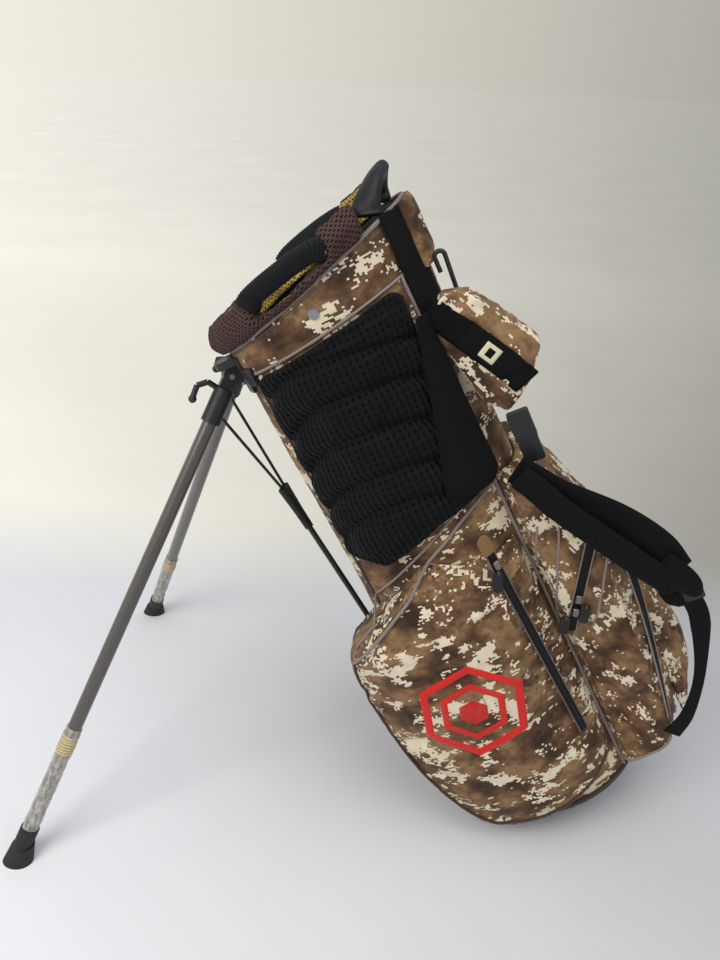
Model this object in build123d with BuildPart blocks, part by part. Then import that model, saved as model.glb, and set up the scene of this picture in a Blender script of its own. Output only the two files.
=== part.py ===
"""Golf stand bag, leaning on its rocker foot with both legs out.

The row frame has +Z up, +X towards the bag's spine and -Y towards the side with the hip pad.
Its origin is the middle of the rocker foot's flat sole. Most pieces are drawn in the bag's own
frame: x towards the spine, y across, z along the bag from the bottom of its base.
"""
import os
from math import cos, radians, sin, sqrt

from build123d import *

os.makedirs("parts", exist_ok=True)

# ---- Stance and rocker foot -------------------------------------------------------------
TILT = 28.2                 # lean of the bag from upright, degrees
ROCKER_X = -72              # rocker pin, ahead of the bag's axis
ROCKER_Z = 9                # rocker pin above the sole, in both stances
SOLE_AHEAD = 30             # from the rocker pin forward to the sole's middle
ROD_ARM = 52                # from the rocker pin forward to the rod's eye
ROD_EYE_Z = 12
PLATE = 8
PLATE_ROOM = 10             # height of the wedge cut out over the plate
GROUND_GAP = 0.4            # between the tray's heel and the ground
KNUCKLE = 50                # half length of the foot's knuckle on the pin
EAR_SPAN = 62               # half distance over the tray's two ears
PLATE_REACH = 140           # past the plate's widest point

# ---- Body ------------------------------------------------------------------------------
BASE_DEPTH, BASE_WIDTH = 130, 122      # half sizes at the base
TOP_DEPTH, TOP_WIDTH = 128, 106        # half sizes at the top of the panels
TOP_Z = 742
TOP_SHIFT = -6              # the mouth's centre sits a little towards the legs
CLOTH = 3
SEAM_ANGLE = 38             # side seams, from the spine
FRONT_ANGLE = 140
BAND_LOW, BAND_LOW_SLOPE = 741, 0.16
BAND_TOP, BAND_TOP_SLOPE = 790, 0.286
CUFF = 36
PIN_R = 3

# ---- Legs ------------------------------------------------------------------------------
HINGE_X, HINGE_Y, HINGE_Z = -145, 31, 726.4
LEG = 698                   # hinge to tip
SWING = 53.2                # between the bag's axis and a leg, degrees
SPLAY = 25.3                # outward turn of a leg's swing plane, degrees
TUBE_R = 9
WIRE_ON_LEG = 47
WIRE_INSET = 17
WIRE_R = 2
YOKE_X, YOKE_Z = -171, 555.5
ROD_R = 4

lean = radians(TILT)
bag = Plane(
    origin=(
        SOLE_AHEAD - ROCKER_X * cos(lean) + ROCKER_Z * sin(lean),
        0,
        ROCKER_Z - ROCKER_X * sin(lean) - ROCKER_Z * cos(lean),
    ),
    x_dir=(cos(lean), 0, sin(lean)),
    z_dir=(-sin(lean), 0, cos(lean)),
)


def at(x, y, z):
    """A point of the bag's frame."""
    return bag.from_local_coords(Vector(x, y, z))


def along(x, y, z):
    """A direction of the bag's frame."""
    return at(x, y, z) - at(0, 0, 0)


def across(z):
    """The plane across the bag at height z."""
    return bag.offset(z)


def side(y):
    """The plane seen from the near side: x towards the spine, y up the bag, normal outward."""
    return Plane(origin=at(0, y, 0), x_dir=along(1, 0, 0), z_dir=along(0, -1, 0))


def sloped(height, slope):
    """A plane across the bag that rises towards the spine."""
    return Plane(origin=at(0, 0, height), x_dir=along(0, 1, 0), z_dir=along(-slope, 0, 1))


def keep(piece, name):
    """Label a finished piece and write it."""
    piece.part.label = name
    export_step(piece.part, f"parts/{name}.step")


def body_sizes(z):
    """Half depth, half width and centre of the body's oval at height z."""
    share = z / TOP_Z
    depth = BASE_DEPTH + (TOP_DEPTH - BASE_DEPTH) * share
    width = BASE_WIDTH + (TOP_WIDTH - BASE_WIDTH) * share
    return depth, width, TOP_SHIFT * share


def oval(z, grow):
    """The body's oval at height z, grown all round."""
    depth, width, centre = body_sizes(z)
    with BuildSketch(across(z)) as outline:
        with Locations((centre, 0)):
            Ellipse(depth + grow, width + grow)
    return outline.sketch


def form(low, high, grow, mode=Mode.ADD):
    """The body's solid form between two heights."""
    loft(sections=[oval(low, grow), oval(high, grow)], mode=mode)


def wall(low, high, outside, inside):
    """A tube between two grown ovals."""
    form(low, high, outside)
    form(low - 5, high + 5, inside, Mode.SUBTRACT)


def sector(first, last, low, high):
    """Keep what lies between two angles from the spine, the near side being negative."""
    reach = 420
    middle = (first + last) / 2
    with BuildSketch(across(low)) as wedge:
        with BuildLine():
            Polyline(
                (0, 0),
                *[(reach * cos(radians(a)), reach * sin(radians(a))) for a in (first, middle, last)],
                close=True,
            )
        make_face()
    extrude(wedge.sketch, amount=high - low, mode=Mode.INTERSECT)


def side_prism(points, start, end, radius=0, mode=Mode.ADD):
    """A side outline carried from one y to another, its corners rounded if asked."""
    with BuildSketch(side(start)) as outline:
        with BuildLine():
            Polyline(*points, close=True)
        make_face()
        if radius:
            fillet(outline.vertices(), radius)
    extrude(outline.sketch, amount=start - end, mode=mode)


def block(x, y, z, size_x, size_y, size_z, mode=Mode.ADD):
    """A box of the bag's frame about its middle."""
    with BuildSketch(across(z - size_z / 2)) as outline:
        with Locations((x, y)):
            Rectangle(size_x, size_y)
    extrude(outline.sketch, amount=size_z, mode=mode)


def bar(start, end, radius, mode=Mode.ADD):
    """A round bar between two points of the row frame."""
    run = Vector(end) - Vector(start)
    with BuildSketch(Plane(origin=start, z_dir=run)) as outline:
        Circle(radius)
    extrude(outline.sketch, amount=run.length, mode=mode)


def cross_bar(x, z, radius, half_length, mode=Mode.ADD):
    """A round bar across the bag."""
    bar(at(x, -half_length, z), at(x, half_length, z), radius, mode)


def clear_of_body(gap=0.5):
    """Cut away whatever lies inside the body's form."""
    form(-20, 900, gap, Mode.SUBTRACT)


# ---- Base ------------------------------------------------------------------------------
pin_x, pin_z = SOLE_AHEAD, ROCKER_Z


def wedge_room(mode=Mode.SUBTRACT):
    """The wedge over the rocker plate, level with the ground."""
    with BuildSketch(Plane.XY.offset(-120)) as outline:
        with Locations((pin_x - 150, 0)):
            Rectangle(300, 400)
    extrude(outline.sketch, amount=120 + PLATE_ROOM, mode=mode)


def rod_slot():
    """The slot at the front for the rod and its eye."""
    block(-128, 0, 36, 60, 28, 80, Mode.SUBTRACT)


with BuildPart() as sloping_floor:
    form(0, 48, -4)
    with BuildSketch(Plane.XY.offset(PLATE_ROOM)) as floor_outline:
        with Locations((pin_x - 100, 0)):
            Rectangle(212, 400)
    extrude(floor_outline.sketch, amount=4, mode=Mode.INTERSECT)

with BuildPart() as base_tray:
    form(0, 48, -CLOTH - 0.3)
    form(4, 60, -CLOTH - 3.5, Mode.SUBTRACT)
    form(0, 5, 1)
    add(sloping_floor.part)
    block(ROCKER_X, 0, 11, 28, 124, 22)
    wedge_room()
    cross_bar(ROCKER_X, ROCKER_Z, ROCKER_Z - 0.2, EAR_SPAN)
    cross_bar(ROCKER_X, ROCKER_Z, ROCKER_Z + 0.8, KNUCKLE + 0.4, Mode.SUBTRACT)
    cross_bar(ROCKER_X, ROCKER_Z, PIN_R + 0.02, 70, Mode.SUBTRACT)
    rod_slot()
    split(bisect_by=Plane.XY.offset(GROUND_GAP), keep=Keep.TOP)
keep(base_tray, "base_tray")

with BuildPart() as rocker_pin:
    cross_bar(ROCKER_X, ROCKER_Z, PIN_R, EAR_SPAN - 1)
keep(rocker_pin, "rocker_pin")

with BuildPart() as rocker_foot:
    with BuildSketch() as plate_outline:
        with Locations((pin_x - ROCKER_X, 0)):
            Ellipse(BASE_DEPTH - 1, BASE_WIDTH - 1)
        with Locations((pin_x - 150, 0)):
            Rectangle(300, 400, mode=Mode.INTERSECT)
    extrude(amount=PLATE)
    fillet(rocker_foot.edges().filter_by(Axis.Z).sort_by(Axis.X)[-2:], 6)
    with BuildSketch(Plane(origin=(pin_x, KNUCKLE, pin_z), z_dir=(0, -1, 0))):
        Circle(ROCKER_Z)
    extrude(amount=2 * KNUCKLE)
    with BuildSketch(Plane(origin=(pin_x - ROD_ARM, 11, 0), x_dir=(1, 0, 0), z_dir=(0, -1, 0))):
        with Locations((0, ROD_EYE_Z)):
            Circle(7)
        with Locations((0, ROD_EYE_Z / 2)):
            Rectangle(14, ROD_EYE_Z)
    extrude(amount=22)
    with Locations((pin_x - ROD_ARM, 0, ROD_EYE_Z)):
        Box(22, 11, 14, mode=Mode.SUBTRACT)
    for y in (-1, 1):
        with Locations((pin_x, y * (KNUCKLE - 0.4 + PLATE_REACH) / 2, ROCKER_Z)):
            Box(22, PLATE_REACH - KNUCKLE + 0.4, 20, mode=Mode.SUBTRACT)
    bar((pin_x - ROD_ARM, -12, ROD_EYE_Z), (pin_x - ROD_ARM, 12, ROD_EYE_Z), 2.55, Mode.SUBTRACT)
    bar((pin_x, -KNUCKLE, pin_z), (pin_x, KNUCKLE, pin_z), PIN_R + 0.05, Mode.SUBTRACT)
keep(rocker_foot, "rocker_foot")

# ---- Fabric body -----------------------------------------------------------------------
PANELS = {
    "spine_panel": (-SEAM_ANGLE + 0.2, SEAM_ANGLE - 0.2),
    "near_panel": (-FRONT_ANGLE + 0.2, -SEAM_ANGLE - 0.2),
    "far_panel": (SEAM_ANGLE + 0.2, FRONT_ANGLE - 0.2),
    "front_panel": (FRONT_ANGLE + 0.2, 360 - FRONT_ANGLE - 0.2),
}
for name, (first, last) in PANELS.items():
    with BuildPart() as panel:
        wall(5.4, 800, 0, -CLOTH)
        sector(first, last, -10, 900)
        split(bisect_by=sloped(BAND_LOW, BAND_LOW_SLOPE), keep=Keep.BOTTOM)
        wedge_room()
        rod_slot()
    keep(panel, name)

with BuildPart() as top_band:
    wall(660, 900, 0.6, -CLOTH)
    split(bisect_by=sloped(BAND_LOW + 0.4, BAND_LOW_SLOPE), keep=Keep.TOP)
    split(bisect_by=sloped(BAND_TOP, BAND_TOP_SLOPE), keep=Keep.BOTTOM)
keep(top_band, "top_band")

with BuildPart() as hip_pad:
    wall(400, 800, 15, 0.9)
    side_prism(
        [(-97, 721), (90, 752), (88, 500), (30, 488), (-55, 455), (-99, 478)],
        0, -200, 13, Mode.INTERSECT,
    )
keep(hip_pad, "hip_pad")

# ---- Mouth -----------------------------------------------------------------------------
BAR_X = 42                  # the two cross bars, before and behind the middle
BAR_R = 7
BAR_Z = 752
BAR_SLOPE = 0.25


def rim_z(x):
    """Height of the divider bars."""
    return BAR_Z + BAR_SLOPE * x


with BuildPart() as mouth_frame:
    wall(650, 900, -CLOTH - 0.4, -CLOTH - 6)
    split(bisect_by=sloped(BAND_LOW - 2, BAND_LOW_SLOPE), keep=Keep.TOP)
    split(bisect_by=sloped(BAND_TOP - 1, BAND_TOP_SLOPE), keep=Keep.BOTTOM)
    for x in (-BAR_X, BAR_X):
        half_span = TOP_WIDTH * sqrt(1 - ((x - TOP_SHIFT) / TOP_DEPTH) ** 2) - 7
        cross_bar(x, rim_z(x), BAR_R, half_span)
    bar(at(-BAR_X, 0, rim_z(-BAR_X)), at(BAR_X, 0, rim_z(BAR_X)), BAR_R - 1.3)
keep(mouth_frame, "mouth_frame")

with BuildPart() as club_divider:
    for x in (-BAR_X, BAR_X):
        block(x, 0, 400, 2, 190, 660)
    block(0, 0, 400, 2 * BAR_X, 2, 640)
    form(62, 760, -CLOTH - 7, Mode.INTERSECT)
    split(bisect_by=sloped(BAR_Z - BAR_R - 3, BAR_SLOPE), keep=Keep.BOTTOM)
keep(club_divider, "club_divider")

with BuildPart() as stay_rods:
    for angle in (-62, 0, 62):
        ends = []
        for z in (14, 728):
            depth, width, centre = body_sizes(z)
            inset = 0.91
            ends.append(at(centre + inset * depth * cos(radians(angle)), inset * width * sin(radians(angle)), z))
        bar(ends[0], ends[1], 2.5)
keep(stay_rods, "stay_rods")

SCOOP = (-54, 44)           # where the cuff dips under the lift handles
SCOOP_DROP = 9
CUFF_END = 78               # the cuff stops here, and the moulded handle takes over the rim
with BuildPart() as cuff_pad:
    wall(660, 950, 9, -14)
    split(bisect_by=sloped(BAND_TOP + 0.5, BAND_TOP_SLOPE), keep=Keep.TOP)
    split(bisect_by=sloped(BAND_TOP + CUFF, BAND_TOP_SLOPE), keep=Keep.BOTTOM)
    with BuildSketch(sloped(BAND_TOP + SCOOP_DROP, BAND_TOP_SLOPE)) as scoops:
        middle = sum(SCOOP) / 2
        for y in (-100, 100):
            with Locations((y, -middle * 1.04)):
                Rectangle(90, (SCOOP[1] - SCOOP[0]) * 1.04)
    extrude(amount=80, mode=Mode.SUBTRACT)
    block(CUFF_END + 60, 0, 850, 120, 260, 120, Mode.SUBTRACT)
keep(cuff_pad, "cuff_pad")

HANDLE_Y = 107


def lift_handle(sign):
    """A ribbed grip that bridges a dip of the cuff."""
    ends = [at(SCOOP[0] + 10, sign * 102, 804), at(SCOOP[1] - 11, sign * 102, 826)]
    crown = at(-8, sign * (HANDLE_Y + 3), 826)
    with BuildPart() as grip:
        with BuildLine() as path:
            ThreePointArc(ends[0], crown, ends[1])
        with BuildSketch(Plane(origin=path.line @ 0, z_dir=path.line % 0)):
            Circle(9.5)
        sweep()
    return grip


handle_near = lift_handle(-1)
keep(handle_near, "lift_handle_near")
handle_far = lift_handle(1)
keep(handle_far, "lift_handle_far")

with BuildPart() as back_handle:
    with BuildLine() as arch:
        ThreePointArc(at(94, -50, 828), at(112, 0, 852), at(94, 50, 828))
    with BuildSketch(Plane(origin=arch.line @ 0, x_dir=along(1, 0, 0), z_dir=arch.line % 0)):
        RectangleRounded(18, 14, 5)
    sweep()
    for y in (-54, 54):
        block(94, y, 825, 30, 22, 18)
    split(bisect_by=sloped(BAND_TOP + 0.5, BAND_TOP_SLOPE), keep=Keep.TOP)
keep(back_handle, "back_handle")

with BuildPart() as hood_snaps:
    for sign in (-1, 1):
        bar(at(2, sign * (TOP_WIDTH + 0.2), 766), at(2, sign * (TOP_WIDTH + 3), 766), 6)
    form(700, 800, 0.7, Mode.SUBTRACT)
keep(hood_snaps, "hood_snaps")

# ---- Leg bracket and legs --------------------------------------------------------------
outward = (-cos(radians(SPLAY)), -sin(radians(SPLAY)))      # of the near leg, in plan
leg_dir = along(sin(radians(SWING)) * outward[0], sin(radians(SWING)) * outward[1], -cos(radians(SWING)))
hinge_dir = along(-outward[1], outward[0], 0)               # from inside to outside
hinge_at = at(HINGE_X, -HINGE_Y, HINGE_Z)
EAR = 4
EAR_R = 10
BARREL = 12.6
EAR_GAP = 0.5


def mirrored(piece):
    """The far side's copy of a near piece."""
    with BuildPart() as copy:
        add(piece.part)
        mirror(about=Plane.XZ, mode=Mode.REPLACE)
    return copy


with BuildPart() as near_ears:
    for shift in (-BARREL / 2 - EAR_GAP - EAR, BARREL / 2 + EAR_GAP):
        ear_plane = Plane(
            origin=hinge_at + hinge_dir * shift, x_dir=along(-outward[0], -outward[1], 0), z_dir=hinge_dir
        )
        with BuildSketch(ear_plane):
            Circle(EAR_R)
            with Locations((14, 0)):
                Rectangle(28, 2 * EAR_R)
        extrude(amount=EAR)
    with BuildSketch(across(HINGE_Z + EAR_R + 1.5)):
        with Locations((HINGE_X + 3, -HINGE_Y)):
            Circle(14)
            with Locations((10, 0)):
                Rectangle(20, 28)
    extrude(amount=10)
    bar(hinge_at - hinge_dir * 20, hinge_at + hinge_dir * 20, PIN_R + 0.02, Mode.SUBTRACT)

with BuildPart() as leg_bracket:
    wall(702, 748, 4.6, 0.9)
    sector(180 - 27, 180 + 27, 690, 760)
    add(near_ears.part)
    add(mirror(near_ears.part, about=Plane.XZ))
    clear_of_body(0.9)
    for sign in (-1, 1):
        for z in (709, 741):
            bar(at(-100, sign * 12, z), at(-170, sign * 12, z), 2.2, Mode.SUBTRACT)
keep(leg_bracket, "leg_bracket")

with BuildPart() as bracket_screws:
    for sign in (-1, 1):
        for z in (709, 741):
            bar(at(-134.5, sign * 12, z), at(-141, sign * 12, z), 2.1)
            bar(at(-140.8, sign * 12, z), at(-143.5, sign * 12, z), 4)
    clear_of_body(0.9)
keep(bracket_screws, "bracket_screws")

with BuildPart() as leg_pins:
    bar(hinge_at - hinge_dir * 12, hinge_at + hinge_dir * 12, PIN_R)
    mirror(about=Plane.XZ)
keep(leg_pins, "leg_pins")


def down_leg(distance):
    """A point on the near leg's centre line."""
    return hinge_at + leg_dir * distance


wire_seat = down_leg(WIRE_ON_LEG) - hinge_dir * WIRE_INSET
hook_dir = leg_dir.cross(hinge_dir)                          # forward and up, off the leg's front
HEAD_R = 12

with BuildPart() as leg_head_near:
    bar(hinge_at - hinge_dir * (BARREL / 2), hinge_at + hinge_dir * (BARREL / 2), 9.5)
    with BuildSketch(Plane(origin=hinge_at, x_dir=hinge_dir, z_dir=leg_dir)):
        Rectangle(BARREL, 17)
    extrude(amount=24)
    bar(down_leg(18), down_leg(62), HEAD_R)
    fillet(leg_head_near.faces().sort_by(Axis(hinge_at, leg_dir))[0].edges(), 0.4)
    bar(down_leg(30), down_leg(70), TUBE_R + 0.03, Mode.SUBTRACT)
    bar(hinge_at - hinge_dir * 20, hinge_at + hinge_dir * 20, PIN_R + 0.05, Mode.SUBTRACT)
    bar(down_leg(WIRE_ON_LEG) - hinge_dir * 10, down_leg(WIRE_ON_LEG) - hinge_dir * 14, 3.2)
    hook_sign = 1 if hook_dir.Z > 0 else -1
    front = hook_dir * hook_sign
    with BuildLine() as hook:
        Polyline(
            down_leg(20) + front * 9,
            down_leg(18) + front * 22,
            down_leg(27) + front * 32,
            down_leg(42) + front * 31,
        )
    with BuildSketch(Plane(origin=hook.line @ 0, z_dir=hook.line % 0)):
        Circle(3.6)
    sweep(transition=Transition.ROUND)
    with Locations(down_leg(44) + front * 30.5):
        Sphere(5)
keep(leg_head_near, "leg_head_near")
keep(mirrored(leg_head_near), "leg_head_far")

BOOT_TOP = 52               # boot's sleeve above the tip
with BuildPart() as leg_tube_near:
    bar(down_leg(30.5), down_leg(LEG - 24), TUBE_R)
    bar(down_leg(20), down_leg(LEG - 10), TUBE_R - 1.4, Mode.SUBTRACT)
keep(leg_tube_near, "leg_tube_near")
keep(mirrored(leg_tube_near), "leg_tube_far")

WRAP = (492, 636)           # protective film and its tape, along the leg
with BuildPart() as leg_wrap_near:
    bar(down_leg(WRAP[0]), down_leg(WRAP[1]), TUBE_R + 0.8)
    bar(down_leg(WRAP[0] - 1), down_leg(WRAP[1] + 1), TUBE_R + 0.05, Mode.SUBTRACT)
keep(leg_wrap_near, "leg_wrap_near")
keep(mirrored(leg_wrap_near), "leg_wrap_far")

tip = down_leg(LEG)
with BuildPart() as boot_near:
    bar(down_leg(LEG - BOOT_TOP), down_leg(LEG + 12), TUBE_R + 3)
    with BuildSketch(Plane(origin=(tip.X + 3, tip.Y + 1, 0))):
        Ellipse(20, 15)
    with BuildSketch(Plane(origin=down_leg(LEG - 26), z_dir=(0, 0, 1))):
        Ellipse(15, 13)
    loft()
    split(bisect_by=Plane.XY, keep=Keep.TOP)
    bar(down_leg(LEG - 60), down_leg(LEG - 23.5), TUBE_R + 0.03, Mode.SUBTRACT)
keep(boot_near, "boot_near")
keep(mirrored(boot_near), "boot_far")

# ---- Stand rod, yoke and wires ---------------------------------------------------------
eye_at = Vector(pin_x - ROD_ARM, 0, ROD_EYE_Z)
yoke_top = at(YOKE_X, 0, YOKE_Z)
rod_knee = at(-139, 0, 64)
rod_run = (yoke_top - rod_knee).normalized()
rod_end = yoke_top - rod_run * 36
with BuildPart() as stand_rod:
    with BuildLine() as rod_path:
        FilletPolyline(eye_at + (rod_knee - eye_at).normalized() * 3, rod_knee, rod_end, radius=22)
    with BuildSketch(Plane(origin=rod_path.line @ 0, z_dir=rod_path.line % 0)):
        Circle(ROD_R)
    sweep()
    bar(eye_at - Vector(0, 4.6, 0), eye_at + Vector(0, 4.6, 0), 6)
    bar(eye_at - Vector(0, 12.5, 0), eye_at + Vector(0, 12.5, 0), 2.5)
keep(stand_rod, "stand_rod")

WIRE_SPLIT = 5              # half the distance between the wires in the yoke
with BuildPart() as yoke_sleeve:
    with BuildSketch(Plane(origin=yoke_top - rod_run * 68, z_dir=rod_run)):
        Circle(6)
    with BuildSketch(Plane(origin=yoke_top, x_dir=(0, 1, 0), z_dir=rod_run)):
        SlotOverall(24, 12)
    loft()
    bar(yoke_top - rod_run * 75, yoke_top - rod_run * 35, ROD_R + 0.05, Mode.SUBTRACT)
    for sign in (-1, 1):
        mouth = yoke_top + Vector(0, sign * WIRE_SPLIT, 0)
        bar(mouth - rod_run * 6, mouth + rod_run * 5, WIRE_R + 1.6, Mode.SUBTRACT)
keep(yoke_sleeve, "yoke_sleeve")

wire_foot = yoke_top - Vector(0, WIRE_SPLIT, 0)
with BuildPart() as wire_near:
    bar(wire_foot, wire_seat, WIRE_R)
    bar(wire_seat - hinge_dir * 2.4, wire_seat + hinge_dir * 2.4, 5)
keep(wire_near, "wire_near")
keep(mirrored(wire_near), "wire_far")

# ---- Pockets ---------------------------------------------------------------------------
POCKET_OUTLINE = [
    (96, 494), (-18, 442), (-94, 392), (-152, 356), (-165, 322), (-167, 262), (-156, 182),
    (-134, 112), (-98, 46), (-58, 24), (0, 24), (60, 46), (99, 74),
]
pocket_face = Spline((99, -70), (88, -112), (34, -143), (-60, -152), (-146, -138), (-169, -112))
with BuildPart() as pocket_near:
    with BuildSketch(across(10)):
        with BuildLine():
            add(pocket_face)
            Polyline((-169, -112), (-166, -66), (99, -66), (99, -70))
        make_face()
    extrude(amount=500)
    side_prism(POCKET_OUTLINE, 0, -200, 5, Mode.INTERSECT)
    taper = Plane(origin=at(0, -152, 405), x_dir=along(1, 0, 0), z_dir=along(0.35, -0.62, 0.7))
    split(bisect_by=taper, keep=Keep.BOTTOM)
    clear_of_body(1.3)
keep(pocket_near, "side_pocket_near")
pocket_far = mirrored(pocket_near)
keep(pocket_far, "side_pocket_far")

BALL_HALF = 88              # half width of the ball pocket
BALL_BACK = 207             # its back face, behind the bag's axis
BALL_OUTLINE = [
    (92, 500), (138, 492), (172, 392), (200, 318), (210, 250), (209, 150), (200, 80),
    (168, 30), (104, 14), (92, 30),
]


def ball_section(grow, height):
    """The ball pocket's flat-sided plan, carried up the bag."""
    side_y = BALL_HALF + grow
    back = BALL_BACK + grow
    with BuildSketch(across(0)) as plan:
        with BuildLine():
            Polyline(
                (100, -69), (114, -side_y), (182, -side_y), (back, -44),
                (back, 44), (182, side_y), (114, side_y), (100, 69), close=True,
            )
        make_face()
        fillet(plan.vertices().group_by(Axis.X)[-1], 24)
    extrude(plan.sketch, amount=height, mode=Mode.ADD if not grow else Mode.SUBTRACT)


with BuildPart() as ball_pocket:
    ball_section(0, 520)
    side_prism(BALL_OUTLINE, 120, -120, 9, Mode.INTERSECT)
    clear_of_body(1.3)
keep(ball_pocket, "ball_pocket")

with BuildPart() as ball_pocket_outer:
    with BuildSketch(across(0)):
        with BuildLine():
            Spline((196, -58), (222, -46), (236, 0), (222, 46), (196, 58))
            Line((196, 58), (196, -58))
        make_face()
    extrude(amount=330)
    side_prism(
        [(190, 306), (218, 298), (228, 236), (235, 160), (230, 106), (210, 58), (182, 34)],
        80, -80, 6, Mode.INTERSECT,
    )
    ball_section(0.5, 520)
keep(ball_pocket_outer, "ball_pocket_outer")

with BuildPart() as top_pocket:
    wall(730, 860, 10, 1.2)
    sector(-17, 30, 700, 900)
    side_prism([(90, 752), (150, 744), (152, 800), (140, 832), (90, 834)], 100, -100, 5, Mode.INTERSECT)
    split(bisect_by=sloped(BAND_TOP - 1.5, BAND_TOP_SLOPE), keep=Keep.BOTTOM)
keep(top_pocket, "top_pocket")


def pocket_eyelet(x, z):
    """One brass ring pressed into the ball pocket's near wall."""
    centre = at(x, -BALL_HALF - 0.2, z)
    bar(centre, centre - Vector(0, 3, 0), 4.5)
    bar(centre, centre - Vector(0, 4, 0), 2.2, Mode.SUBTRACT)


with BuildPart() as vent_eyelets:
    for x, z in ((152, 178), (149, 146), (146, 112)):
        pocket_eyelet(x, z)
keep(vent_eyelets, "vent_eyelets")

# ---- Zippers, sliders and pull tags ----------------------------------------------------
TAPE = 1.4                  # thickness of a zipper's tape
TAG_LONG, TAG_WIDE, TAG_THICK = 26, 12, 3
SLIDER_LONG, SLIDER_WIDE, SLIDER_HIGH = 12, 8, 4
TAG_LIFT = 3.2              # a tag's underside above its zipper's line


def zip_plane(start, end, normal, lift):
    """A plane on the fabric: x along the zipper, z out of the fabric."""
    return Plane(origin=start + normal * lift, x_dir=end - start, z_dir=normal)


def zipper(start, end, normal, width):
    """A zipper's tape and teeth as one strip."""
    with BuildPart() as strip_part:
        with BuildSketch(zip_plane(start, end, normal, 0.3)):
            Rectangle((end - start).length, width, align=(Align.MIN, Align.CENTER))
        extrude(amount=TAPE)
    return strip_part


def slider(start, end, normal, distance):
    """A zipper slider, with the bridge that its tag hangs on."""
    with BuildPart() as body:
        plane = zip_plane(start, end, normal, 0.3 + TAPE + 0.3)
        with BuildSketch(plane):
            with Locations((distance, 0)):
                RectangleRounded(SLIDER_LONG, SLIDER_WIDE, 2.5)
        extrude(amount=SLIDER_HIGH)
        chamfer(body.faces().sort_by(Axis(start, normal))[-1].edges(), 0.8)
    return body


def pull_tag(start, end, normal, distance, aside=0):
    """A moulded tag that hangs straight down from its slider, against the fabric."""
    plumb = Vector(0, 0, -1)
    hang = (plumb - normal * plumb.dot(normal)).normalized()
    hinge = start + (end - start).normalized() * distance + hang * (SLIDER_LONG / 2 + 1.5)
    hinge += hang.cross(normal) * aside
    plane = Plane(origin=hinge + normal * TAG_LIFT, x_dir=hang, z_dir=normal)
    with BuildPart() as tag:
        with BuildSketch(plane):
            with Locations((TAG_LONG / 2, 0)):
                RectangleRounded(TAG_LONG, TAG_WIDE, 4)
            with Locations((2.6, 0)):
                Circle(1.2, mode=Mode.SUBTRACT)
        extrude(amount=TAG_THICK)
    return tag


def on_pocket_face(share, z):
    """A point of the side pocket's face, a share of the way round it from the seam."""
    spot = pocket_face @ share
    return at(spot.X, spot.Y, z)


face_run = pocket_face % 0.2
face_normal = along(-face_run.Y, face_run.X, 0)
if face_normal.Y > 0:
    face_normal = -face_normal
side_zip = (
    on_pocket_face(0.226, 456) + face_normal * 0.9,
    on_pocket_face(0.174, 134) + face_normal * 0.9,
    face_normal,
)
ball_zip = (at(175, -BALL_HALF, 380), at(112, -BALL_HALF, 266), along(0, -1, 0))
SIDE_SLIDER_AT = 36
BALL_SLIDERS_AT = (80, 100)
TAG_ASIDE = {"upper": -10.5, "lower": 10.5}
keep(zipper(*side_zip, 10), "side_zipper_near")
keep(mirrored(zipper(*side_zip, 10)), "side_zipper_far")
keep(zipper(*ball_zip, 10), "ball_zipper")
keep(slider(*side_zip, SIDE_SLIDER_AT), "side_slider_near")
keep(pull_tag(*side_zip, SIDE_SLIDER_AT), "side_tag_near")
keep(mirrored(slider(*side_zip, SIDE_SLIDER_AT)), "side_slider_far")
keep(mirrored(pull_tag(*side_zip, SIDE_SLIDER_AT)), "side_tag_far")
for name, place in zip(("upper", "lower"), BALL_SLIDERS_AT):
    keep(slider(*ball_zip, place), f"ball_slider_{name}")
    keep(pull_tag(*ball_zip, place, TAG_ASIDE[name]), f"ball_tag_{name}")

# ---- Shoulder strap --------------------------------------------------------------------
WEB = 2.6                   # thickness of flat webbing

with BuildPart() as spine_strap:
    wall(600, 900, 1.4 + WEB, 1.4)
    sector(-37, -18, 690, 900)
    split(bisect_by=sloped(BAND_TOP - 1.5, BAND_TOP_SLOPE), keep=Keep.BOTTOM)
keep(spine_strap, "spine_strap")

with BuildPart() as webbing_loop:
    wall(502, 716, 15.6 + WEB, 15.6)
    side_prism([(76, 714), (98, 714), (98, 504), (44, 504)], 0, -200, 6, Mode.INTERSECT)
keep(webbing_loop, "webbing_loop")

PAD_NEAR, PAD_FAR = -78, -48
with BuildPart() as shoulder_pad:
    side_prism(
        [(99, 706), (128, 723), (156, 714), (176, 684), (206, 632), (180, 596), (146, 570), (124, 594)],
        PAD_FAR, PAD_NEAR, 8,
    )
    clear_of_body(4.6)
keep(shoulder_pad, "shoulder_pad")

with BuildPart() as strap_hook:
    with BuildLine() as hook_path:
        FilletPolyline(
            at(132, -30, 736), at(132, -30, 758), at(144, -30, 758), at(141, -30, 712), radius=5.5,
        )
    with BuildSketch(Plane(origin=hook_path.line @ 0, z_dir=hook_path.line % 0)):
        Circle(2.6)
    sweep()
keep(strap_hook, "strap_hook")

BUCKLE_Y = -64
with BuildPart() as buckle_socket:
    block(152, BUCKLE_Y, 545, 26, 10, 36)
    fillet(buckle_socket.edges().filter_by(Axis.Y), 3)
    block(152, BUCKLE_Y, 531, 19, 5.4, 20, Mode.SUBTRACT)
keep(buckle_socket, "buckle_socket")

with BuildPart() as buckle_plug:
    block(152, BUCKLE_Y, 512, 24, 9, 29)
    fillet(buckle_plug.edges().filter_by(Axis.Y), 3)
    for x in (145.5, 158.5):
        block(x, BUCKLE_Y, 531, 4, 5, 14)
keep(buckle_plug, "buckle_plug")

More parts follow.
